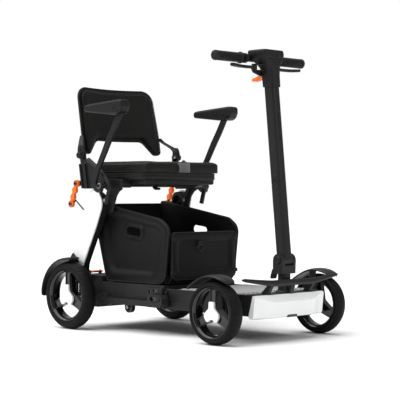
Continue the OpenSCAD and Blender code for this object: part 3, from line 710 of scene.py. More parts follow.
def bent(o, step=14):
    """Cuts a flat panel into strips and curves it round the rider's back."""
    bm = bmesh.new()
    bm.from_mesh(o.data)
    y = -210
    while y < 211:
        bmesh.ops.bisect_plane(bm, geom=bm.verts[:] + bm.edges[:] + bm.faces[:], plane_co=(0, y / 1000, 0),
            plane_no=(0, 1, 0), dist=1e-6)
        y += step
    bm.to_mesh(o.data)
    bm.free()
    laid_back(o.data)
    shade(o.data, 40)
    return o


shell = bent(plate("backrest_back", [back_line(0)], -20, -11, "YZ", bevel=3.5, res=4))
dress(shell, "shell", "backrest", "backrest_shell")
panel = fillet([(150, 205, 26), (156, 75, 22), (-156, 75, 22), (-150, 205, 26)], 6)
dress(bent(plate("backrest_back_panel", [panel], -23, -19.5, "YZ", bevel=1.6)), "base", "backrest")
for k in range(5):
    slot_line = fillet([(60, 100 + 18 * k, 3), (60, 106 + 18 * k, 3), (-60, 106 + 18 * k, 3),
        (-60, 100 + 18 * k, 3)], 4)
    dress(bent(plate("backrest_rib_%d" % k, [slot_line], -25, -22, "YZ", bevel=1.2)), "shell", "backrest")
pad = plate("backrest_cushion", [back_line(-5)], -13, -3, "YZ", bevel=4.8)
inflate(pad, 5.5, 4.5)
for v in pad.data.vertices:
    v.co.x = max(v.co.x, X0 - 0.0111)
laid_back(pad.data)
pad.modifiers.new("smooth", "SUBSURF").levels = 1
pad.modifiers["smooth"].render_levels = 1
shade(pad.data, 180)
bpy.context.view_layer.update()
dress(pad, "vinyl", "backrest", "backrest_pad", False)
seam = [recline(-10.6, p.x, p.y) for p in dense(back_line(-0.6))]
dress(tube("backrest_seam", seam, 1.1, True), "shell", "backrest", weighted=False)


def back_arm(s, side):
    line = ribbon([(34, 602), (33, 612), (32, 624)], [31, 34, 30], 5)
    a = plate("back_arm_plate_" + side, [line], s * 224.5, s * 232.5, bevel=2.4)
    # the arm sweeps inwards and up to the shell's foot
    rings = []
    for z, x, w, y, t in [(614, 33, 35, 228.5, 7.8), (624, 32, 33, 228.3, 7.8), (632, 27, 29, 224, 9),
        (642, 16, 25, 214, 9.5), (652, 3, 22, 202.5, 9.5), (660, -6, 20, 194, 9), (668, -11, 18, 189, 8),
        (673, -13, 15, 187.6, 6)]:
        ring = fillet([(x - w / 2, s * (y - t / 2), 3), (x + w / 2, s * (y - t / 2), 3),
            (x + w / 2, s * (y + t / 2), 3), (x - w / 2, s * (y + t / 2), 3)], 4)
        rings.append([V(p.x, p.y, z) for p in ring])
    b = loft("back_arm_neck_" + side, rings, angle=50)
    dress(join("backrest_arm_" + side, [a, b]), "frame", "backrest", "backrest_arms")
    screw("back_arm_screw_" + side, V(31, s * 232.4, 622), (0, s, 0), "backrest", 4.6)
    dress(turned("back_pivot_cap_" + side, [(0.01, 0), (11, 0), (11.4, 1.5), (10.4, 3.4), (7.4, 4.4),
        (6.6, 3.6), (0.01, 3.6)], V(BACK_PIVOT[0], s * 240, BACK_PIVOT[1]), (0, s, 0), 40), "dark_steel",
        "seat", weighted=False)


sides(back_arm)


# ---------- armrests ----------
def armrest(s, side):
    body = "arm_" + side
    line = ribbon([(262, 741), (235, 694), (204, 645.5), (176, 598), (149, 553), (134, 514), (134, 496),
        (145, 483), (163, 483)], [24, 24, 24, 22, 20, 19, 19, 19, 20], 6)
    bar = plate("strut_bar_" + side, [line], s * 245.8, s * 257.2, bevel=3.4, res=4)
    boss = turned("strut_boss_" + side, [(0.01, -1), (12, -1), (12.6, 0), (12.6, 11), (12, 12.4),
        (0.01, 12.4)], V(ARM_PIVOT[0], s * 245.6, ARM_PIVOT[1]), (0, s, 0), 40)
    dress(join("armrest_strut_" + side, [bar, boss]), "frame", body, "arm_strut_" + side)
    screw("strut_screw_" + side, V(ARM_PIVOT[0], s * 262, ARM_PIVOT[1]), (0, s, 0), "seat", 7.5)
    wedge = fillet([(108.5, 746.5, 10), (108.5, 768.8, 10), (300.5, 781.6, 14), (300.5, 757, 10),
        (292, 740, 9), (277, 732, 9), (232, 733, 14)], 6)
    dress(plate("armrest_pad_" + side, [wedge], s * 240.5, s * 282.5, bevel=7.5, res=5), "shell", body,
        "arm_pad_" + side)
    top = fillet([(118, s * 246, 8), (286, s * 246, 10), (286, s * 277, 10), (118, s * 277, 8)], 6)
    skin = plate("armrest_top_" + side, [top], 778.4, 781.8, "XY", bevel=1.5)
    for v in skin.data.vertices:
        v.co.z -= (284 - (v.co.x - X0) * 1000) * 0.067 / 1000
    dress(skin, "grip", body)
    for y in (239.6, 283.4):
        screw("pad_screw_%d_%s" % (y, side), V(262, s * (y + (0.8 if y < 250 else -0.8)), 755),
            (0, -s if y < 250 else s, 0), body, 4)
    cut = ribbon([(277, 738), (289, 748)], [7, 7], 3)
    dress(plate("pad_recess_" + side, [cut], s * 240.1, s * 283, bevel=0.6), "rim", body)


sides(armrest)


# ---------- straps, covers, brackets ----------
def strap(s, side):
    a, b = Vector((13, 504)), Vector((-15, 433.5))
    along = (b - a).normalized()
    n = Vector((-along.y, along.x))
    L = (b - a).length
    steps = 90
    wide = []
    for i in range(steps + 1):
        d = L * i / steps
        lobes = [sqrt(max(0, r * r - (d - L * k / 3) ** 2)) for k,
            r in enumerate((12.8, 11.6, 11.6, 12.8))]
        wide.append(max(lobes + [6.2]))
    for _ in range(2):
        inner = [(wide[i - 1] + 2 * wide[i] + wide[i + 1]) / 4 for i in range(1, steps)]
        wide = [wide[0]] + inner + [wide[-1]]
    line = [a + along * L * i / steps for i in range(steps + 1)]

    def cap(centre, d):
        turns = [pi * k / 12 for k in range(1, 12)]
        return [centre + Vector((d.x * cos(r) + d.y * sin(r),
            -d.x * sin(r) + d.y * cos(r))) for r in turns]
    edge = [p + n * w for p, w in zip(line, wide)] + cap(b, n * wide[-1])
    edge += [p - n * w for p, w in zip(line[::-1], wide[::-1])] + cap(a, -n * wide[0])
    dress(plate("strap_" + side, [edge], s * 226.3, s * 237.8, bevel=2.6), "orange_rubber", "seat",
        "side_straps")
    for k, p in enumerate((a, b)):
        dress(turned("strap_washer_%d_%s" % (k, side), [(0.01, 0), (7.8, 0), (8.3, 0.8), (7.8, 1.7),
            (0.01, 1.7)], V(p.x, s * 237.8, p.y), (0, s, 0), 40), "dark_steel", "seat", weighted=False)
        screw("strap_screw_%d_%s" % (k, side), V(p.x, s * 240, p.y), (0, s, 0), "seat", 6.2)
    # a dark curved wire beside the lower screw: painted shadow, standing for the shadow the strap's peg
    # casts on the cover
    stay = tube("strap_peg_shadow_" + side, [V(-15, s * 224, 434), V(-2, s * 224, 446), V(40, s * 224, 414)], 2.6)
    dress(stay, "dark_steel", "seat", weighted=False)


sides(strap)


def cover(s, side):
    line = fillet([(-42, 224, 5), (-25.5, 270, 60), (7, 354, 90), (50.5, 440, 60), (56, 464, 20),
        (64, 477, 12), (76, 484, 12), (93, 482, 18), (110, 470, 24), (121, 453, 22), (125.5, 436, 18),
        (123, 419, 40), (99, 364, 60), (24, 216, 6)], 5)
    dress(plate("side_cover_skin_" + side, [line], s * 209.2, s * 216, bevel=2.2, res=4), "white", "frame",
        "side_cover_" + side)


sides(cover)


def bracket(s, side):
    """The plate, rear post, guard rail, seat block and inner cheek on one side."""
    face = fillet([(38, 486, 4), (18, 600, 6), (50, 600, 6), (54, 577, 16), (72, 585, 6), (130, 549, 8),
        (160, 522, 12), (178, 500, 10), (181, 486, 4)], 6)
    parts = [plate("face", [face], s * 219, s * 224, bevel=1.4)]
    post = [fillet([(x, 487, 1), (x + 7, 487, 1), (x - 8, 572, 1), (x - 15, 572, 1)], 3) for x in (36, 61)]
    parts += [plate("rib", [line], s * 220, s * 231, bevel=1.2) for line in post]
    parts.append(plate("web", [fillet([(37, 487, 2), (67, 487, 2), (52, 572, 2), (22, 572, 2)], 3)],
        s * 223, s * 226, bevel=1))
    rail = spline([(70, 586), (100, 568), (130, 549), (160, 522), (178, 500), (181, 486), (174, 462),
        (166, 434)], 6)
    parts.append(tube("rail", [V(p.x, s * 228, p.y) for p in rail], 8, sides=5))
    parts.append(turned("boss", [(5.2, 0), (15, 0), (16, 1.2), (16, 3.8), (15, 5), (5.2, 5)],
        V(BACK_PIVOT[0], s * 219, BACK_PIVOT[1]), (0, s, 0), 48, closed=True))
    parts.append(turned("boss", [(5.2, 0), (13, 0), (14, 1.2), (14, 3.8), (13, 5), (5.2, 5)],
        V(ARM_PIVOT[0], s * 219.4, ARM_PIVOT[1]), (0, s, 0), 48, closed=True))
    parts.append(turned("peg", [(0.01, 0), (10, 0), (10, 6), (0.01, 6)], V(13, s * 220, 504), (0, s, 0),
        36))
    arm = ribbon([(13, 504), (48, 508)], [18, 18], 3)
    parts.append(plate("arm", [arm], s * 220, s * 224.4, bevel=1.4))
    block = fillet([(146, s * 154, 4), (211, s * 154, 4), (211, s * 200, 4), (178, s * 200, 3),
        (178, s * 224, 3), (146, s * 224, 3)], 4)
    parts.append(plate("block", [block], 489, 518, "XY", bevel=2))
    cheek = fillet([(111, 446, 14), (140, 489, 4), (202, 489, 4), (176, 476, 10), (162, 460, 14),
        (153, 436, 20), (147, 404, 8), (121, 404, 8)], 5)
    parts.append(plate("cheek", [cheek], s * 176, s * 184, bevel=1.6))
    # short stiffening ribs on the cheek's inner face
    for k in range(6):
        x, z = 124 + 5 * k, 428 + 10 * k
        parts.append(plate("lattice", [ribbon([(x, z), (x + 22 - k, z)], [2.4, 2.4], 2)], s * 172.5,
            s * 176.6, bevel=0.8))
        parts.append(plate("lattice", [ribbon([(x + 4, z), (x + 14, z + 10)], [2.2, 2.2], 2)], s * 173,
            s * 176.6, bevel=0.8))
    dress(join("seat_bracket_" + side, parts), "frame", "seat", "seat_brackets")


sides(bracket)


def upright(s):
    """A flanged channel with ribs across its inner face."""
    outer = fillet([(-26, 165, 8), (-36, 236, 30), (-22, 270, 60), (10, 354, 90), (53, 440, 60),
        (60, 466, 14), (70, 474, 14), (92, 477, 20), (118, 462, 20), (124, 436, 20), (117, 401, 60),
        (24, 221, 60), (25, 160, 8)], 5)
    pocket = fillet([(-4, 290, 10), (24, 354, 60), (62, 432, 30), (70, 461, 8), (90, 463, 12),
        (108, 446, 14), (104, 412, 40), (84, 364, 60), (48, 290, 12)], 5)
    parts = [plate("back", [outer], s * 198, s * 208.8, bevel=1.8), plate("wall", [outer, pocket],
        s * 183.2, s * 199, bevel=1.8)]
    for k in range(8):
        z = 306 + 21 * k
        x = 4 + 0.52 * (z - 300)
        w = (52, 50, 49, 47, 46, 44, 42, 34)[k]
        parts.append(plate("rib", [ribbon([(x, z), (x + w / 2, z + 9), (x + w, z)], [3, 3, 3], 2)], s * 187,
            s * 199, bevel=0.8))
    return parts


both = upright(-1) + upright(1)
both.append(tube("cross", [V(36, y, 330) for y in (-200, -60, 60, 200)], 10, sides=6))
dress(join("upright_pair", both), "frame", "frame", "uprights")


# ---------- bin ----------
def loops_skin(name, loops, fill_start=None, angle=38):
    """A closed skin through matched loops, its ends filled flat, with an optional hole right through."""
    bm = bmesh.new()
    rows = [[bm.verts.new(p) for p in ring] for ring in loops]
    edges = []
    for r in (rows[0], rows[-1]):
        edges.append([bm.edges.new((r[i], r[(i + 1) % len(r)])) for i in range(len(r))])
    for a, b in zip(rows, rows[1:]):
        for i in range(len(a)):
            j = (i + 1) % len(a)
            bm.faces.new((a[i], a[j], b[j], b[i]))
    hole = []
    if fill_start:
        hole = [[bm.verts.new(p) for p in ring] for ring in fill_start]
        for a, b in zip(hole, hole[1:]):
            for i in range(len(a)):
                j = (i + 1) % len(a)
                bm.faces.new((a[i], a[j], b[j], b[i]))
    for group, ring in zip(edges, (hole[0], hole[-1]) if hole else (None, None)):
        more = [bm.edges.get((v, ring[(i + 1) % len(ring)])) for i, v in enumerate(ring)] if ring else []
        bmesh.ops.triangle_fill(bm, use_beauty=True, use_dissolve=False, edges=group + more)
    clean(bm, 1e-6)
    me = bpy.data.meshes.new(name)
    bm.to_mesh(me)
    bm.free()
    shade(me, angle)
    return link(name, me)


def crumple(o):
    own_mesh(o)
    return o


side_out = [(97, 168.5, 16), (388, 168.5, 34), (403, 300, 60), (410, 356, 40), (366, 385, 36), (21, 444, 8),
    (58, 303, 120)]
side_in = [(124, 208, 34), (344, 206, 44), (366, 300, 60), (371, 336, 34), (344, 352, 34), (86, 396, 20),
    (96, 303, 120)]


def shrink(k, dz=0.0):
    """An outline between the panel's edge (0) and the dish's edge (1)."""
    return fillet([(a[0] + (b[0] - a[0]) * k, a[1] + (b[1] - a[1]) * k + dz, a[2] + (b[2] - a[2]) * k)
        for a, b in zip(side_out, side_in)], 8)


def bin_side(s, side):
    def ring(k, y):
        return [V(p.x, s * y, p.y) for p in shrink(k)]
    outer = [ring(0.06, 156.2), ring(0.01, 156.9), ring(-0.01, 159.5), ring(0.0, 163.5), ring(0.05, 167),
        ring(0.16, 169), ring(0.36, 169.8), ring(0.56, 169.2), ring(0.72, 167.4), ring(0.86, 164.4),
        ring(0.98, 161), ring(1.1, 158.8), ring(1.2, 157.8)]

    def handle(hx, hz, y, r):
        pts = fillet([(-hx, -hz, r), (hx, -hz, r), (hx, hz, r), (-hx, hz, r)], 8)
        c, q = cos(radians(-7)), sin(radians(-7))
        return [V(230 + p.x * c - p.y * q, s * y, 340 + p.x * q + p.y * c) for p in pts]
    # the first hole loop meets the back fill, the last meets the dish
    hole = [handle(35, 14.5, 156.2, 13), handle(34.2, 13.8, 157.2, 12.5), handle(34.2, 13.8, 160.5, 12.5),
        handle(36, 15.2, 163, 14), handle(41, 20, 164.2, 18.5), handle(46, 24, 163, 22),
        handle(50, 28, 159.6, 26), handle(52, 30, 157.8, 28)]
    o = loops_skin("bin_panel_" + side, outer, hole)
    dress(o, "felt", "base", "bin_side_" + side, False)
    crumple(o)
    edge = [V(p.x, s * 166.6, p.y) for p in shrink(0.03)]
    crumple(dress(tube("bin_piping_" + side, edge, 2.6, True), "piping", "base", weighted=False))


sides(bin_side)


def front_ring(k, x):
    pts = fillet([(-152 + k, 181 + k * 0.9, 20), (152 - k, 181 + k * 0.9, 20), (154 - k, 340 - k, 16),
        (-154 + k, 340 - k, 16)], 8)
    return [V(x, p.x, p.y) for p in pts]


front = loops_skin("bin_front", [front_ring(2, 398), front_ring(0.2, 399), front_ring(0, 402),
    front_ring(0.4, 407), front_ring(3, 410.4), front_ring(8, 411.6), front_ring(20, 411.8),
    front_ring(25, 410.6), front_ring(31, 406.2), front_ring(33, 405.6), front_ring(34, 405.6)])
crumple(dress(front, "felt", "base", "bin_band", False))
crumple(dress(tube("bin_front_piping", front_ring(1.2, 408.8), 2.4, True), "piping", "base",
    weighted=False))
floor_line = fillet([(100, -155, 8), (392, -155, 14), (392, 155, 14), (100, 155, 8)])
crumple(dress(plate("bin_floor", [floor_line], 168.3, 175, "XY", bevel=2.4), "felt", "base"))
foot_line = ribbon([(384, 173), (396, 180), (403, 196), (404, 214)], [8, 8, 8, 7], 4)
crumple(dress(plate("bin_front_foot", [foot_line], -150, 150, bevel=2), "felt", "base"))
back_side = ribbon([(101, 174), (64, 303), (29, 430)], [7.5, 7.5, 7.5], 4)
crumple(dress(plate("bin_back", [back_side], -155, 155, bevel=2.5), "felt", "base"))
# D-ring on a tab
tab = fillet([(-34, 291, 3), (-10, 291, 3), (-12, 309, 5), (-32, 309, 5)])
crumple(dress(plate("bin_tab", [tab], 406, 411.5, "YZ", bevel=1.2), "piping", "base"))
bow = [V(414, -22 + 16 * cos(t), 292 - 16 * max(0, sin(t))) for t in [pi * k / 16
    for k in range(17)]]
bar_pts = bow + [V(414, -22 - 11, 296), V(414, -22 + 11, 296)]
crumple(dress(tube("bin_d_ring", bar_pts, 2, True), "base", "base", weighted=False))
for s in (-1, 1):
    for z in (318, 206):
        clip = fillet([(s * 140, z - 6, 2), (s * 158, z - 6, 2), (s * 158, z + 6, 2), (s * 140, z + 6, 2)])
        crumple(dress(plate("bin_clip_%s_%d" % ("right" if s < 0 else "left", z), [clip], 408, 413.4, "YZ",
            bevel=1.2), "shell", "base"))


# ---------- front cover and bumper ----------
def mix(a, b, t):
    return a + (b - a) * t


rings = []
for i in range(49):
    y = -166.5 + 333 * i / 48
    f = min(1, max(0, (abs(y) - 84) / 80))
    f = f * f * (3 - 2 * f)
    e = 1 if abs(y) < 165 else 0.96
    prof = fillet([(784, 151.5, 0.5), (mix(798, 790.5, f), 152.2, 2.5),
        (mix(809.5, 792.6, f), mix(129, 146, f), 1.6), (mix(800, 785.4, f), mix(78.5, 80.5, f), 6),
        (mix(780, 776, f), 76.5, 3), (770, 79, 2)], 4)
    cx, cz = 784, 112
    rings.append([V(cx + (p.x - cx) * e, y, cz + (p.y - cz) * e) for p in prof])
dress(loft("front_cover_skin", rings, angle=28), "white", "base", "front_cover")
slot_line = fillet([(-24, 77.5, 3), (24, 77.5, 3), (22, 86, 3), (-22, 86, 3)])
dress(plate("front_cover_slot", [slot_line], 785, 802.6, "YZ", bevel=1), "rim", "base")
cheek = fillet([(764, 84, 2), (782, 151, 3), (790, 151, 3), (791, 128, 8), (785, 81, 6), (772, 77, 3)])
for s, side in ((-1, "right"), (1, "left")):
    dress(plate("front_cover_cheek_" + side, [cheek], s * 160.5, s * 166.6, bevel=1.8), "white", "base")

rings = []
for i in range(41):
    u = -1 + i / 20
    y = 229 * u
    t = max(0, (abs(y) - 96) / 133)
    z = 188.5 + 15.5 * t ** 1.15
    x = 806 - 7.5 * t ** 1.3
    h = mix(10.2, 5.4, t) * (1 if abs(u) < 0.99 else 0.5)
    d = mix(6.4, 4.8, t) * (1 if abs(u) < 0.99 else 0.6)
    prof = fillet([(x - d, z - h * 0.8, 1.5), (x + d * 0.4, z - h, 2), (x + d * 1.1, z - h * 0.2, 2.5),
        (x + d * 0.9, z + h * 0.7, 2), (x - d * 0.2, z + h, 2), (x - d, z + h * 0.6, 2)], 3)
    rings.append([V(p.x, y, p.y) for p in prof])
wing = loft("bumper_wing", rings, angle=45)
parts = [wing]
post = fillet([(765, 150, 1), (766, 158, 4), (798, 190, 6), (808, 190, 3), (808, 180, 4), (790, 152, 5),
    (784, 149, 1)])
for y0, y1 in ((-108, -92), (92, 108)):
    parts.append(plate("post", [post], y0, y1, bevel=3))
mid_post = fillet([(789, 152, 1), (800, 190, 3), (809, 190, 3), (809, 182, 3), (798, 150.5, 2)])
parts.append(plate("post", [mid_post], -9, 9, bevel=2.5))
dress(join("bumper_bar", parts), "frame", "base", "bumper")

# ---------- tiller ----------
lean = radians(5.6)


def axis_x(z):
    return TILLER_X - (z - TILLER_Z) * tan(lean)


stations = [(812, 24.5, 21.5, 12, 0), (815, 25.5, 22.5, 13, 0), (840, 25.8, 22.8, 13, 0),
    (864, 26.5, 23.5, 13, -0.5), (874, 28, 26, 13, -2), (884, 30.5, 31, 13, -4.5),
    (894, 33.5, 38.5, 12, -8), (903, 36, 45.5, 11, -11.5), (911, 37.6, 49.2, 10, -13.8),
    (919, 38.6, 50.4, 10, -14.6), (926, 38.8, 50.6, 10, -14.4), (930, 37.8, 49.6, 10, -14.2),
    (932.2, 35, 46.6, 9, -14), (932.6, 32, 43.6, 8, -14)]
rings = []
for z, hx, hy, r, dx in stations:
    cx = axis_x(z) + dx
    ring = fillet([(cx - hx, -hy, r), (cx + hx, -hy * 0.96, r), (cx + hx, hy * 0.96, r), (cx - hx, hy, r)],
        7)
    rings.append([V(p.x, p.y, z) for p in ring])
head = loft("tiller_head_skin", rings, angle=50)


def carve(o, cutter):
    m = o.modifiers.new("cut", "BOOLEAN")
    m.operation, m.object, m.solver = "DIFFERENCE", cutter, "EXACT"
    me = bpy.data.meshes.new_from_object(o.evaluated_get(bpy.context.evaluated_depsgraph_get()))
    o.modifiers.clear()
    o.data = me
    bpy.data.objects.remove(cutter)
    shade(me, 40)


tray = fillet([(651.5, -39, 4), (689, -39, 4), (689, 39, 4), (651.5, 39, 4)])
carve(head, plate("cut", [tray], 916.5, 940, "XY", bevel=0.5))
mouth = fillet([(660, 800, 2), (660, 862, 8), (694, 866, 6), (703, 858, 4), (703, 838, 4), (690, 800, 2)])
carve(head, plate("cut", [mouth], -13.5, 13.5, bevel=1))
lugs = []
for s in (-1, 1):
    for z in (862.5, 881.5):
        out = ribbon([(698, s * 26), (692, s * 40), (688, s * 56)], [20, 18, 17], 4)
        lugs.append(plate("lug", [out], z, z + 4, "XY", bevel=1))
    lugs.append(turned("pin", [(0.01, 0), (5, 0), (5, 1), (3, 1.2), (3, 22.5), (5, 22.8), (5, 24.6),
        (0.01, 24.6)], V(688, s * 56, 861.2), (0, 0, 1), 24))
    # triangular stay below each lever's root
    stay = fillet([(s * 22, 864, 2), (s * 66, 863, 2), (s * 62, 857, 3), (s * 24, 846, 3)])
    lugs.append(plate("stay", [stay], 686, 693, "YZ", bevel=1.4))
dress(join("tiller_head_shell", [head] + lugs), "shell", "tiller", "tiller_head")
for s, side in ((-1, "right"), (1, "left")):
    inset = fillet([(s * 14, 922, 2.5), (s * 43, 922, 2.5), (s * 41, 908, 3), (s * 18, 908, 3)])
    dress(plate("head_insert_" + side, [inset], axis_x(915) + 22.6, axis_x(915) + 25.4, "YZ", bevel=0.8),
        "rim", "tiller")
seam_pts = [V(axis_x(z) + dx, 0, z) for z, dx in ((640, 21.4), (700, 21.4), (760, 21.4), (808, 21.4))]
dress(tube("column_seam", seam_pts, 0.6), "rim", "tiller", weighted=False)

# control panel on the rider's side: a dial with ticks and three keys
panel = fillet([(652.2, -38, 3.5), (688.2, -38, 3.5), (688.2, 38, 3.5), (652.2, 38, 3.5)])
dress(plate("panel_face", [panel], 917, 925.4, "XY", bevel=1), "glass", "tiller", "display")
dial = [(0.01, 0), (12.5, 0), (12.8, 1.2), (12, 2), (10.6, 2.4), (10.2, 6), (9.4, 7), (0.01, 7)]
dress(turned("speed_dial", dial, V(670, -16, 925), (0, 0, 1), 40), "grip", "tiller", weighted=False)
pointer = fillet([(669.2, -12, 0.4), (670.8, -12, 0.4), (670.8, -7.4, 0.4), (669.2, -7.4, 0.4)], 2)
dress(plate("dial_pointer", [pointer], 931.6, 932.4, "XY", bevel=0.2), "mark", "tiller")
for k in range(9):
    t = radians(-40 + 260 * k / 8)
    c = Vector((670 + 15 * cos(t), -16 + 15 * sin(t)))
    d = Vector((cos(t), sin(t)))
    n = Vector((-d.y, d.x))
    tick = [c - d * 1.1 + n * 0.4, c + d * 1.1 + n * 0.4, c + d * 1.1 - n * 0.4, c - d * 1.1 - n * 0.4]
    dress(plate("dial_tick_%d" % k, [tick], 925.3, 925.7, "XY", bevel=0.1), "mark", "tiller")
for k, y in enumerate((7, 19, 31)):
    key = fillet([(664, y - 4.6, 2), (676, y - 4.6, 2), (676, y + 4.6, 2), (664, y + 4.6, 2)])
    dress(plate("panel_key_%d" % k, [key], 924.8, 927.6, "XY", bevel=0.9), "grip", "tiller")

# ribbed grips
def grip(s, side):
    prof = [(0.01, -0.5), (11.2, -0.5), (18.2, 0), (19, 1.2), (19, 3.6), (17.6, 5), (15.4, 6.4)]
    w = 9.0
    while w < 108:
        prof += [(14.6, w), (15.9, w + 0.7), (15.9, w + 2.3), (14.6, w + 3.0)]
        w += 3.9
    prof += [(15.6, w + 0.4), (16.4, w + 1.4), (16.4, w + 5), (15.8, 119), (13.6, 121.4), (9, 122.2),
        (0.01, 122.2)]
    dress(turned("grip_" + side, prof, V(660, s * 90, 905), (0, s, 0), 48), "grip", "tiller", "grips",
        False)
    # clamp collar beside the head, with its screw
    ring = [(11.2, 0), (15, 0), (16.2, 1), (16.2, 12.5), (15, 13.6), (11.2, 13.6)]
    dress(turned("bar_collar_" + side, ring, V(660, s * 66, 905), (0, s, 0), 40, closed=True), "shell",
        "tiller", weighted=False)
    screw("bar_collar_screw_" + side, V(676, s * 73, 905), (1, 0, 0), "tiller", 3)


sides(grip)


def paddle(s, side):
    line = ribbon([(688, s * 54), (682, s * 78), (682, s * 106), (686, s * 132), (690, s * 154)],
        [16, 14, 15, 19, 21], 6)
    lever = plate("lever_blade_" + side, [line], 870, 879.5, "XY", bevel=3, res=4)
    for v in lever.data.vertices:
        y = abs(v.co.y) * 1000
        if y > 120:
            v.co.z += 0.0022 * ((y - 120) / 40) ** 1.5
    boss = turned("lever_boss_" + side, [(3.1, 0), (9.4, 0), (10, 0.8), (10, 12), (9.4, 12.8), (3.1, 12.8)],
        V(688, s * 56, 867.6), (0, 0, 1), 32, closed=True)
    dress(join("lever_" + side, [lever, boss]), "shell", "lever_" + side, "throttle_" + side)


sides(paddle)
line = ribbon([(694, 851), (682, 850), (668, 846.5), (654, 841), (641, 839)], [14, 13, 12, 12, 11], 6)
dress(plate("tiller_release_tongue", [line], -12, 12, bevel=3, res=4), "orange", "tiller_release",
    "release_lever")

# column: the arched end of a cover outlined on each side with a screw, joint lines across the rear, fold
# pin caps and lock ribs
def column_trim(s, side):
    pts = []
    for k in range(17):
        t = pi * k / 16
        pts.append((8.5 * cos(t), 522 + 8.5 * sin(t)))
    line = [V(axis_x(z) + u, s * 19.15, z) for u, z in [(8.5, 480)] + pts + [(-8.5, 480)]]
    dress(tube("column_arch_" + side, line, 0.55), "rim", "tiller", weighted=False)
    screw("column_screw_" + side, V(axis_x(512), s * 18.6, 512), (0, s, 0), "tiller", 3)


sides(column_trim)
for k, z in enumerate((700, 560, 380)):
    line = [V(axis_x(z + d) - 20.4, y, z + d) for y, d in ((-9, 0), (9, 0))]
    dress(tube("column_rear_joint_%d" % k, line, 0.5), "rim", "tiller", weighted=False)
for s, side in ((-1, "right"), (1, "left")):
    cap = [(0.01, 0), (12.5, 0), (13.5, 0.8), (13.2, 2.2), (10.5, 3.2), (9.5, 2.4), (0.01, 2.4)]
    dress(turned("fold_pin_cap_" + side, cap, V(TILLER_X, s * 32, TILLER_Z), (0, s, 0), 40), "dark_steel",
        "steer", weighted=False)
for k in range(4):
    z = 206 + 5 * k
    rib = [V(717.5 + 1.5 * k - 0.9, y, z) for y in (-9, 9)]
    dress(tube("lock_rib_%d" % k, rib, 0.9), "shell", "stem_lock", weighted=False)

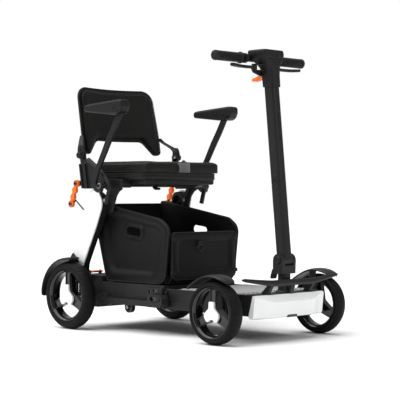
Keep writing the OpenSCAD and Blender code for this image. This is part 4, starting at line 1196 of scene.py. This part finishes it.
# ---------- base details ----------
def base_side(s, side):
    skirt = fillet([(-44, 92, 5), (-34, 80, 4), (54, 79.5, 6), (70, 96, 8), (368, 96, 4), (374, 104, 3),
        (374, 150, 3), (66, 152, 6), (60, 168, 6), (-44, 168, 6)])
    dress(plate("base_skin_" + side, [skirt], s * 169, s * 171.8, bevel=1.3), "base", "base")
    latch = fillet([(299, 119, 3), (306, 155, 5), (384, 156, 3), (384, 119, 3)])
    slots = [fillet([(318, 148, 2), (328, 148, 2), (331, 136, 2), (321, 136, 2)], 3),
        fillet([(341, 150, 2), (362, 150, 2), (362, 141, 2), (341, 141, 2)], 3)]
    dress(plate("latch_plate_" + side, [latch] + slots, s * 171, s * 176, bevel=1), "base", "base")
    dress(plate("latch_inner_" + side, [fillet([(314, 152, 2), (366, 152, 2), (366, 132, 2),
        (314, 132, 2)])], s * 170.5, s * 172.6, bevel=0.4), "rim", "base")
    dress(turned("rail_eye_" + side, [(4.6, 0), (8.6, 0), (9.4, 0.8), (9.2, 2), (7.6, 2.6), (4.6, 2.2)],
        V(108, s * 195.4, 117), (0, s, 0), 32, closed=True), "base", "base", weighted=False)
    screw("rail_screw_" + side, V(110, s * 190.5, 117), (0, s, 0), "base", 3.6, "steel")
    port = fillet([(355, 112, 8), (355, 130, 8), (403, 130, 8), (403, 112, 8)], 6)
    hole = fillet([(358, 114.5, 6.5), (358, 127.5, 6.5), (400, 127.5, 6.5), (400, 114.5, 6.5)], 6)
    dress(plate("port_bezel_" + side, [port, hole], s * 203, s * 206, bevel=1), "shell", "base")
    for x, z in ((398, 138), (398, 112)):
        dress(turned("deck_hinge_%d_%s" % (z, side), [(0.01, -9), (4.5, -9), (5.2, -8.2), (5.2, 8.2),
            (4.5, 9), (0.01, 9)], V(x, s * 168, z), (0, 0, 1), 24), "dark_steel", "base", weighted=False)
    lip = fillet([(404, 106, 2), (404, 109.5, 2), (771, 109.5, 2), (770, 106, 2)], 3)
    dress(plate("chassis_lip_" + side, [lip], s * 164, s * 166.8, bevel=1.2), "frame", "base")
    trim = fillet([(396, 149.5, 1.5), (396, 154.5, 2), (770, 154.5, 2), (770, 149.5, 1.5)], 3)
    dress(plate("deck_edge_" + side, [trim], s * 159.5, s * 166.5, bevel=1.6), "base", "base")
    tread = [(12, -9), (17.5, -9), (19, -7.5), (19, 7.5), (17.5, 9), (12, 9), (10.5, 6), (4.2, 6),
        (4.2, -6), (10.5, -6)]
    dress(turned("roller_tread_" + side, tread, V(205, s * 156, 82), (0, s, 0), 48, closed=True), "rim",
        "roller_pair", "rollers", False)


sides(base_side)
deck_front = fillet([(739, -158, 3), (739, 158, 3), (781, 158, 5), (783, -158, 5)])
holes = [[(767 + 24 * cos(t), 24 * sin(t)) for t in [2 * pi * k / 32 for k in range(32)]]]
dress(plate("deck_nose", [deck_front] + holes, 150.4, 154, "XY", bevel=1.2), "base", "base")
tab_line = ribbon([(-86, 186), (-66, 189), (-44, 191), (-26, 192.5)], [6, 7, 8, 6], 5)
dress(plate("pedal_tongue", [tab_line], -122, -80, bevel=2.2), "orange", "pedal", "release_pedal")
for k in range(4):
    x = -84 + 7 * k
    dress(tube("pedal_rib_%d" % k, [V(x, y, 189.8 + 0.13 * (x + 84)) for y in (-116, -86)], 0.9), "orange",
        "pedal", weighted=False)
collar = [(20.4, 0), (26.5, 0), (27.5, 1.4), (25.5, 5), (22, 7.5), (20.4, 7.5)]
dress(turned("stem_collar", collar, V(767, 0, 153.6), (0, 0, 1), 48, closed=True), "shell", "steer",
    weighted=False)

# ---------- carried-over CAD nodes ----------
finish_of = {"base": ["base_shell", "base_lid", "side_rails"], "frame": ["front_chassis", "knuckle_right",
    "knuckle_left", "steer_stem", "tiller_column", "handlebar"], "shell": ["lock_lever"],
    "deck": ["deck_plate"], "rim": ["battery_pack", "charge_port"], "silver": ["controller", "rear_motors"],
    "steel": ["base_pins", "seat_bolts", "steering_link"], }
for mat, names in finish_of.items():
    for n in names:
        NODES[n].data.materials.clear()
        NODES[n].data.materials.append(M[mat])

bpy.ops.mesh.primitive_plane_add(size=40, location=(0, 0, 0))
ground = bpy.context.object
ground.name = "studio_floor"
paper = material("studio_paper", (0.93, 0.93, 0.93), 0.9, grain=40, bump=0.0001, var=0.003, edge=0.0)
ground.data.materials.append(paper)
